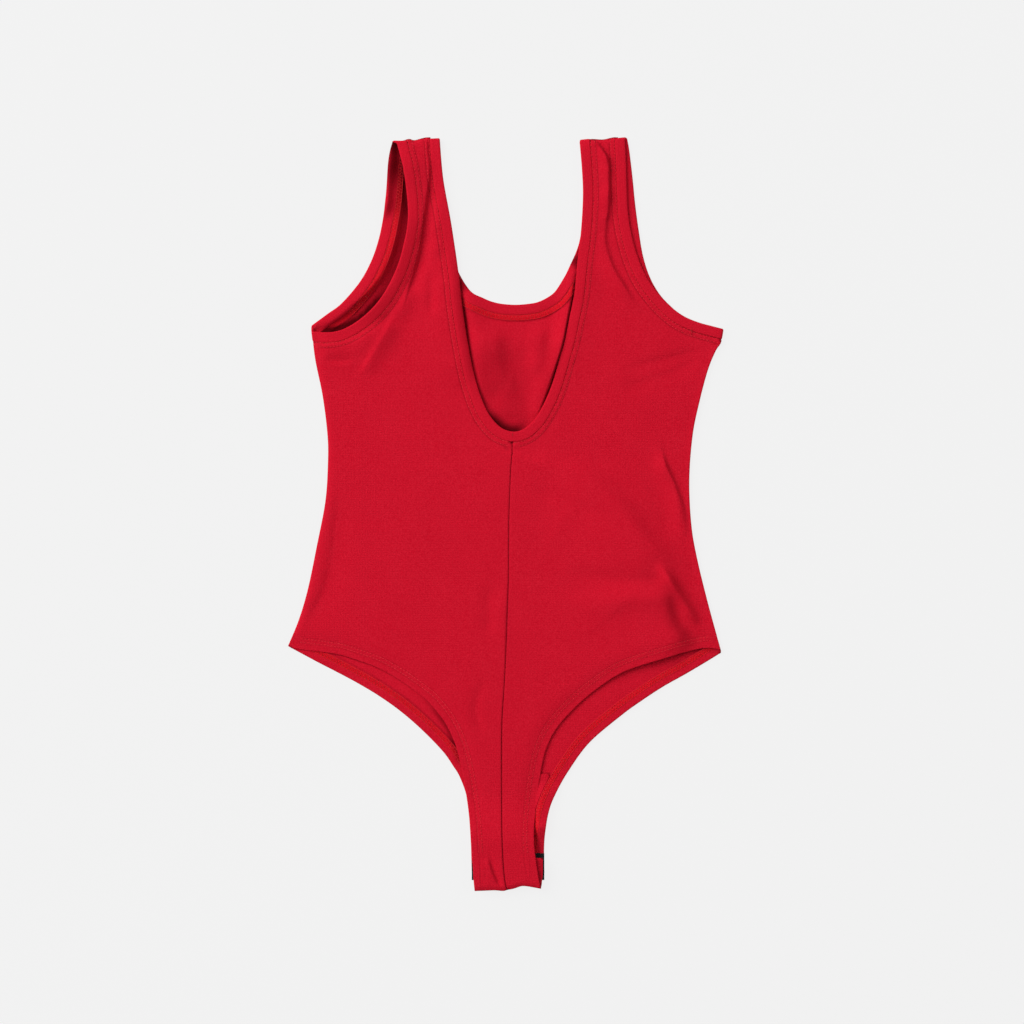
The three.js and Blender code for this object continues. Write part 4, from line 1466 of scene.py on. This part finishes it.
@dataclass
class Binding:
    """A strip of jersey folded round one opening, over both layers and both folds."""

    lay: Lay
    name: str
    node: str
    finish: Finish
    opening: tuple[str, str]
    inward: int
    folds: tuple[Fold, Fold]
    end_across: tuple[float, float] | None = None
    wall: float = 0.85
    turns: int = 7
    shares: tuple[float, ...] = (0.0, 0.2, 0.4, 0.6, 0.8, 1.0)

    def stations(self, edge: Array, height: Height) -> list[Station]:
        """Places the strip's stations beside a finished edge.

        Args:
            edge: the finished edge.
            height: the height of the band's middle.

        Returns:
            One station a point of the edge.
        """
        normal = normals(edge) * self.inward
        across = normal.copy()
        if self.end_across:
            run = np.hypot(*(edge - edge[-1]).T)
            swing = (1 - smooth(run / (2 * self.lay.band)))[:, None]
            way = np.array(self.end_across) / np.hypot(*self.end_across)
            across = normal * (1 - swing) + way * swing
            across /= np.hypot(*across.T)[:, None]
        spread = self.lay.band / (across * normal).sum(1)
        seam = edge + across * spread[:, None]
        levels = [height(edge + (seam - edge) * share) for share in self.shares]
        made = []
        for k, (p, q) in enumerate(zip(edge, seam)):
            tall = np.array([level[k] for level in levels])
            free, sewn = np.array([*p, tall[0]]), np.array([*q, tall[-1]])
            width = np.linalg.norm(sewn - free)
            bow = tall - tall[0] - (tall[-1] - tall[0]) * np.array(self.shares)
            made.append(Station((free + sewn) / 2, (sewn - free) / width, width / 2, bow))
        return made

    @staticmethod
    def stopped(stops: list[Station], fold: Fold, value: float) -> list[Station]:
        """Cuts or lengthens a run so that it ends at a value of x or y.

        Args:
            stops: the run's stations.
            fold: which end, and along which axis.
            value: where to end.

        Returns:
            The run's stations again.
        """
        turned = 1 if fold.at_end else -1
        ordered = stops[::turned]
        sign = np.sign(value)
        while sign * ordered[-1].place[fold.axis] > sign * value - 1.0:
            ordered.pop()
        last, before = ordered[-1], ordered[-2]
        step = last.place - before.place
        place = last.place + step * (value - last.place[fold.axis]) / step[fold.axis]
        ordered.append(Station(place, last.across, last.half, last.bow))
        return ordered[::turned]

    def turn(self, start: Station, end: Station, fold: Fold) -> list[Station]:
        """Carries the strip round a fold, from one layer to the other.

        Args:
            start: the last station before the fold.
            end: the first one after it.
            fold: the fold.

        Returns:
            The stations between them.
        """
        reach = abs(end.place[2] - start.place[2]) / 2
        made = []
        for k in range(1, self.turns):
            angle = np.pi * k / self.turns
            share = (1 - np.cos(angle)) / 2
            across = start.across * (1 - share) + end.across * share
            place = start.place * (1 - share) + end.place * share
            place = place + np.array(fold.outward) * reach * np.sin(angle)
            half = start.half * (1 - share) + end.half * share
            bow = (start.bow if share < 0.5 else end.bow) * abs(np.cos(angle))
            made.append(Station(place, across / np.linalg.norm(across), half, bow))
        return made

    def section(self, half: float, thick: float, bow: Array) -> Array:
        """Gives the folded strip's section: a wall that runs out, round the free edge and back.

        Args:
            half: half its width.
            thick: half its thickness.
            bow: how far it bows, at each of its shares.

        Returns:
            The wall's outline as (across, up) rows.
        """
        angles = np.linspace(np.pi / 2, -np.pi / 2, 7)
        bend = [(-half + thick * (1 - np.cos(angle)), thick * np.sin(angle)) for angle in angles]
        rise = [(half + 0.3, 0.62), (half - 0.1, 0.86), (half - 1.2, 0.97 * thick), (half * 0.5, thick)]
        rise += [(0.0, 1.03 * thick), (-half * 0.5, 1.02 * thick)]
        outer = rise + bend + [(u, -v) for u, v in rise[::-1]]
        inner = []
        for u, v in outer[::-1]:
            least = 0.3 if u > half - 1.0 else 0.04
            inner.append((max(u, -half + self.wall), np.sign(v) * max(abs(v) - self.wall, least)))
        made = np.array(outer + inner)
        made[:, 1] += np.interp((made[:, 0] / half + 1) / 2, self.shares, bow)
        return made

    def build(self) -> Thing:
        """Makes the binding.

        Returns:
            The new object.
        """
        front, back = (self.lay[name] for name in self.opening)
        below, above = self.stations(front, self.lay.front_band), self.stations(back, self.lay.back_band)
        for fold in self.folds:
            ends = [stops[-1] if fold.at_end else stops[0] for stops in (below, above)]
            rise = ends[1].place[2] - ends[0].place[2]
            value = fold.line - np.sign(fold.line) * (rise / 2 + self.lay.band_thick / 2)
            below, above = self.stopped(below, fold, value), self.stopped(above, fold, value)
        first, second = self.folds
        above = above[::-1]
        loop = below + self.turn(below[-1], above[0], second) + above + self.turn(above[-1], below[0], first)
        places = np.array([stop.place for stop in loop])
        frames, sections = [], []
        uneven = 1 + 0.07 * waver(places[:, :2] + places[:, 2:] * 9, 18, 4)
        for k, stop in enumerate(loop):
            way = places[(k + 1) % len(loop)] - places[k - 1]
            up = np.cross(way, stop.across)
            up /= np.linalg.norm(up)
            frames.append((stop.place, stop.across, up))
            thick = self.lay.band_thick / 2 * uneven[k]
            sections.append(self.section(stop.half, thick, stop.bow * np.sign(up[2])))
        piece = swept(self.name, frames, sections, self.finish)
        # Painted shade on the band's front run, under the left strap and beside the back neck.
        dark = np.where(np.arange(len(loop)) < len(below), self.lay.pocket(places[:, :2]), 0.0)
        give_shade(piece, "painted_shade", np.repeat(dark, len(sections[0])))
        return stand_in(piece, self.node)


@dataclass
class Crotch:
    """The lining, the two lengths of snap tape and the back's end turned up inside the closure."""

    lay: Lay
    finish: Finish
    tape_finish: Finish
    snap_finish: Finish
    floor: Height
    lining_end: float = -327.0
    lining_level: float = 1.8
    front_level: float = 3.1
    back_level: float = 7.0
    tape_wide: float = 19.0
    tab_top: float = -326.0
    tab_left: float = -29.0
    rib: float = 2.2

    def level(self, height: float) -> Height:
        """Gives a height function with a slight waver."""
        return lambda points: height + 0.08 * waver(points, 30, 9)

    def resting(self, height: float) -> Height:
        """Gives a height function that keeps clear of the front's inner face."""
        level = self.level(height)
        return lambda points: np.maximum(level(points), self.floor(points) + 0.52)

    def ceiling(self, points: Array) -> Array:
        """Gives the height just under the back layer's inner face."""
        hem = self.lay.off(points, "leg back left", "leg back right")
        return self.lay.back(points) - 0.53 - 0.7 * (1 - smooth((hem - HEM_DEEP) / 0.8))

    def sheet(
        self, name: str, outline: Array, middle: Height, thick: float, finish: Finish,
        painted_shade: Height = flat(0.0), low: Height = flat(0.0), high: Height = flat(99.0),
    ) -> Thing:
        """Makes a small flat piece of cloth.

        Args:
            name: its name.
            outline: its outline.
            middle: the height of its middle.
            thick: its thickness.
            finish: its material.
            painted_shade: how much painted shade its seams and folds get.
            low: the height of what it lies on.
            high: the height of what lies on it.

        Returns:
            The new object.
        """
        loop = tidy(outline)

        def top(points: Array) -> Array:
            """Gives the upper face's height."""
            return np.minimum(middle(points) + thick / 2, high(points))

        def bottom(points: Array) -> Array:
            """Gives the lower face's height."""
            return np.minimum(np.maximum(middle(points) - thick / 2, low(points)), top(points) - 0.22)

        return cloth(name, (loop, [Edge(ring(loop), (0.25, 0.7, 1.4))], 2.0), (top, bottom), finish, painted_shade)

    def lining(self) -> Thing:
        """Makes the crotch lining that lies inside the front.

        Returns:
            The new object.
        """
        sides = []
        for hand in Hand:
            line = moved(self.lay[f"leg front {hand}"], -hand.sign * (HEM_DEEP + 0.6))
            sides.append(line[(line[:, 1] < GUSSET) & (line[:, 1] > self.lining_end)])
        left, right = sides
        top = np.column_stack([np.linspace(right[0, 0], left[0, 0], 24), np.full(24, GUSSET)])
        end = np.column_stack([np.linspace(left[-1, 0], right[-1, 0], 20), np.full(20, self.lining_end)])
        outline = np.vstack([left, end[1:-1], right[::-1], top[1:-1]])
        piece = self.sheet("crotch_lining_cloth", outline, self.resting(self.lining_level), 0.9, self.finish)
        return stand_in(piece, "crotch_lining")

    def tape(self, which: str, level: float, left: float, right: float, low: float) -> Thing:
        """Makes one length of snap tape.

        Args:
            which: "front" or "back".
            level: the height of its middle.
            left: x of its left end.
            right: x of its right end.
            low: y of its lower edge.

        Returns:
            The new object.
        """
        high = low + self.tape_wide
        along, up = np.linspace(left, right, 29), np.linspace(low, high, 9)
        outline = np.vstack([
            np.column_stack([along, np.full(29, low)]),
            np.column_stack([np.full(9, right), up])[1:],
            np.column_stack([along[::-1], np.full(29, high)])[1:],
            np.column_stack([np.full(9, left), up[::-1]])[1:-1],
        ])
        piece = self.sheet(
            f"{which}_snap_tape", outline, self.resting(level), 0.9, self.tape_finish,
            high=lambda points: self.ceiling(points) - 0.35,
        )
        return stand_in(piece, f"snap_tape_{which}")

    def tab(self) -> Thing:
        """Makes the back's end, turned up inside at the bottom fold.

        Returns:
            The new object.
        """
        bottom, left, high = self.lay["bottom"], self.tab_left, self.tab_top
        up = even(np.array([(34.4, -351), (35.4, -340), (35.6, high)]), RUN_STEP)
        down = even(np.array([(left, high), (left, -346)]), RUN_STEP)
        across = np.column_stack([np.linspace(34.8, left, 28), np.full(28, high)])

        def middle(points: Array) -> Array:
            """Gives the height of the end's middle, ribbed across and sunk at the right.

            Args:
                points: places on the end.

            Returns:
                The height at each place.
            """
            x = points[:, 0]
            ribbed = 0.12 * np.sin(2 * np.pi * x / self.rib)
            folded = 0.4 * dip(distance(points, bottom), 0, 2.5)
            return self.lay.back(points) - 1.35 + folded + ribbed - 0.85 * smooth((x - 27) / 4)

        def stripes(points: Array) -> Array:
            """Gives the end's painted shade: 0.3 on average, from 0 to 0.6 in stripes with the ribs."""
            return 0.3 + 0.3 * np.sin(2 * np.pi * points[:, 0] / self.rib)

        def taped(points: Array) -> Array:
            """Gives the height of the back tape's upper face."""
            return np.minimum(self.level(self.back_level + 0.48)(points), self.ceiling(points) - 0.32)

        outline = np.vstack([bottom, up, across[1:-1], down])
        piece = self.sheet("back_end_tab", outline, middle, 0.85, self.finish, stripes, taped, self.ceiling)
        return stand_in(piece)

    def build(self) -> list[Thing]:
        """Makes the closure and gives the snaps their finish.

        Returns:
            The lining, the front and back tapes and the turned-up end.
        """
        front = self.lining(), self.tape("front", self.front_level, -31.6, 36.8, -341)
        back = self.tape("back", self.back_level, -31.9, 36.8, -347), self.tab()
        for name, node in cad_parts.items():
            if name.startswith("snap_s"):
                node.data.materials.clear()
                node.data.materials.append(self.snap_finish)
        return [*front, *back]


# ---- The room
@dataclass(frozen=True)
class Softbox:
    """A square soft light aimed at the garment's middle."""

    name: str
    place: tuple[float, float, float]
    size: float
    power: float

    def build(self) -> None:
        """Adds the light."""
        lamp = bpy.data.lights.new(self.name, "AREA")
        lamp.size = self.size
        lamp.energy = self.power
        held = bpy.data.objects.new(self.name, lamp)
        held.location = self.place
        held.rotation_euler = (-Vector(self.place)).to_track_quat("-Z", "Y").to_euler()
        held.visible_camera = False
        bpy.context.scene.collection.objects.link(held)


@dataclass
class Studio:
    """A pale tabletop, soft lights from both sides and above, and a camera straight overhead, in metres."""

    span: float = 0.9728
    high: float = 2.6
    sensor: float = 36.0
    aim: Point = (0.0062, 0.0017)
    sky: float = 0.08
    reach: float = 30.0
    table: float = -0.0003
    lights: tuple[Softbox, ...] = (
        Softbox("left softbox", (-4.5, 2.6, 3.6), 4.4, 454.0),
        Softbox("right softbox", (4.8, 0.3, 3.6), 3.2, 72.0),
        Softbox("overhead softbox", (-0.2, 0.6, 4.5), 2.4, 40.0),
    )

    def floor(self) -> None:
        """Lays the tabletop, a sheet of matt white board that is lit from within to come out white."""
        material, tree = blank("matt white board")
        place = add(tree, "ShaderNodeTexCoord").outputs["Object"]
        grain = add(tree, "ShaderNodeTexNoise", {"Vector": place, "Scale": 900.0, "Detail": 2.0})
        bump = add(tree, "ShaderNodeBump", {"Height": grain, "Strength": 0.03, "Distance": 0.1 * MM})
        shader = add(tree, "ShaderNodeBsdfPrincipled", {
            "Base Color": linear("#404040"),
            "Roughness": 0.95,
            "Normal": bump,
            "Specular IOR Level": 0.05,
            "Emission Color": linear("#FFFFFF"),
            "Emission Strength": 0.835,
        })
        add(tree, "ShaderNodeOutputMaterial", {0: shader})
        mesh = bpy.data.meshes.new("tabletop")
        signs = ((-1, -1), (1, -1), (1, 1), (-1, 1))
        mesh.from_pydata([(x * self.reach, y * self.reach, self.table) for x, y in signs], [], [(0, 1, 2, 3)])
        mesh.materials.append(material)
        top = bpy.data.objects.new("tabletop", mesh)
        bpy.context.scene.collection.objects.link(top)

    def build(self) -> None:
        """Sets the tabletop, lights, sky and camera."""
        self.floor()
        for light in self.lights:
            light.build()
        world = bpy.data.worlds.new("studio")
        world.use_nodes = True
        colour, strength = world.node_tree.nodes["Background"].inputs[:2]
        colour.default_value, strength.default_value = linear("#FFFFFF"), self.sky
        scene = bpy.context.scene
        scene.world = world
        scene.view_settings.view_transform = "Standard"
        lens = bpy.data.cameras.new("overhead camera")
        lens.sensor_width = self.sensor
        lens.lens = self.sensor * self.high / self.span
        held = bpy.data.objects.new("overhead camera", lens)
        held.location = (*self.aim, self.high)
        scene.collection.objects.link(held)
        scene.camera = held


# ---- Assembly
def declare(piece: Thing, wide: float, long: float) -> None:
    """States a piece's cut size as cloth, in metres.

    Args:
        piece: the piece.
        wide: the cut's width.
        long: its length.
    """
    LOG.info("%s is cut %.3f by %.3f m", piece.name, wide, long)


def main() -> None:
    """Builds the garment and its room, and reports each piece."""
    logging.basicConfig(level=logging.INFO, format="%(name)s: %(message)s")
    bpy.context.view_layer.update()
    lay = Lay()
    jersey = Jersey("red cotton jersey").make()
    strip = Jersey("red jersey binding", run=Run.STRIP, bump=0.16).make()
    thread = Thread("red cover thread", face="#F0263C").make()
    looper = Thread("red looper thread", face="#DC0C1C").make()

    front = FrontPanel(lay, jersey, looper)
    front_cloth = front.build()
    declare(front_cloth, 0.413, 0.72)
    LOG.info("looper threads: %s", [piece.name for piece in front.stitch()])

    for hand in Hand:
        half = BackPanel(lay, hand, jersey, thread, front.rest)
        declare(half.build(), 0.214, 0.735)
        LOG.info("coverstitches: %s", [piece.name for piece in half.stitch()])

    over, leftward, rightward = (0.0, 1.0, 0.0), (-1.0, 0.0, 0.0), (1.0, 0.0, 0.0)
    for name, node, opening, inward, start, end, across, long in (
        ("neck_binding", "neck_band", "neck front, neck back", -1, (1, 356.4), (1, 354.8, over), None, 0.99),
        ("armhole_binding_left", "armhole_band_left", "arm front left, arm back left", 1,
         (1, 353.4), (0, -184.0, leftward), (0.1, -1.0), 0.45),
        ("armhole_binding_right", "armhole_band_right", "arm front right, arm back right", -1,
         (1, 356.9), (0, 206.0, rightward), (-0.15, -1.0), 0.46),
    ):
        folds = Fold(start[0], start[1], False, over), Fold(end[0], end[1], True, end[2])
        binding = Binding(lay, name, node, strip, tuple(opening.split(", ")), inward, folds, across)
        declare(binding.build(), 0.0195, long)
    # Painted shade: dark thread on the band's two joins stands for the shade where its ends meet.
    dark = Thread("dark thread as painted join shade", face="#7C0410").make()
    for name, start, end in (("neck", (6.9, 77.9), (6.6, 72.4)), ("armhole", (177.2, 178.6), (176.2, 169.6))):
        run = np.linspace(start, end, 5)
        rise = lay.back_band(run) + lay.band_thick / 2 + np.array([-0.75, -0.15, -0.1, -0.15, -0.5])
        strands(f"band_join_shade_{name}", [np.column_stack([run, rise])], 0.34, dark)

    closure = Crotch(lay, jersey, TwillTape().make(), Enamel().make(), front.top)
    lining, front_tape, back_tape, tab = closure.build()
    declare(lining, 0.074, 0.08)
    declare(front_tape, 0.019, 0.069)
    declare(back_tape, 0.019, 0.069)
    declare(tab, 0.067, 0.031)

    Studio().build()


if __name__ == "__main__":
    main()
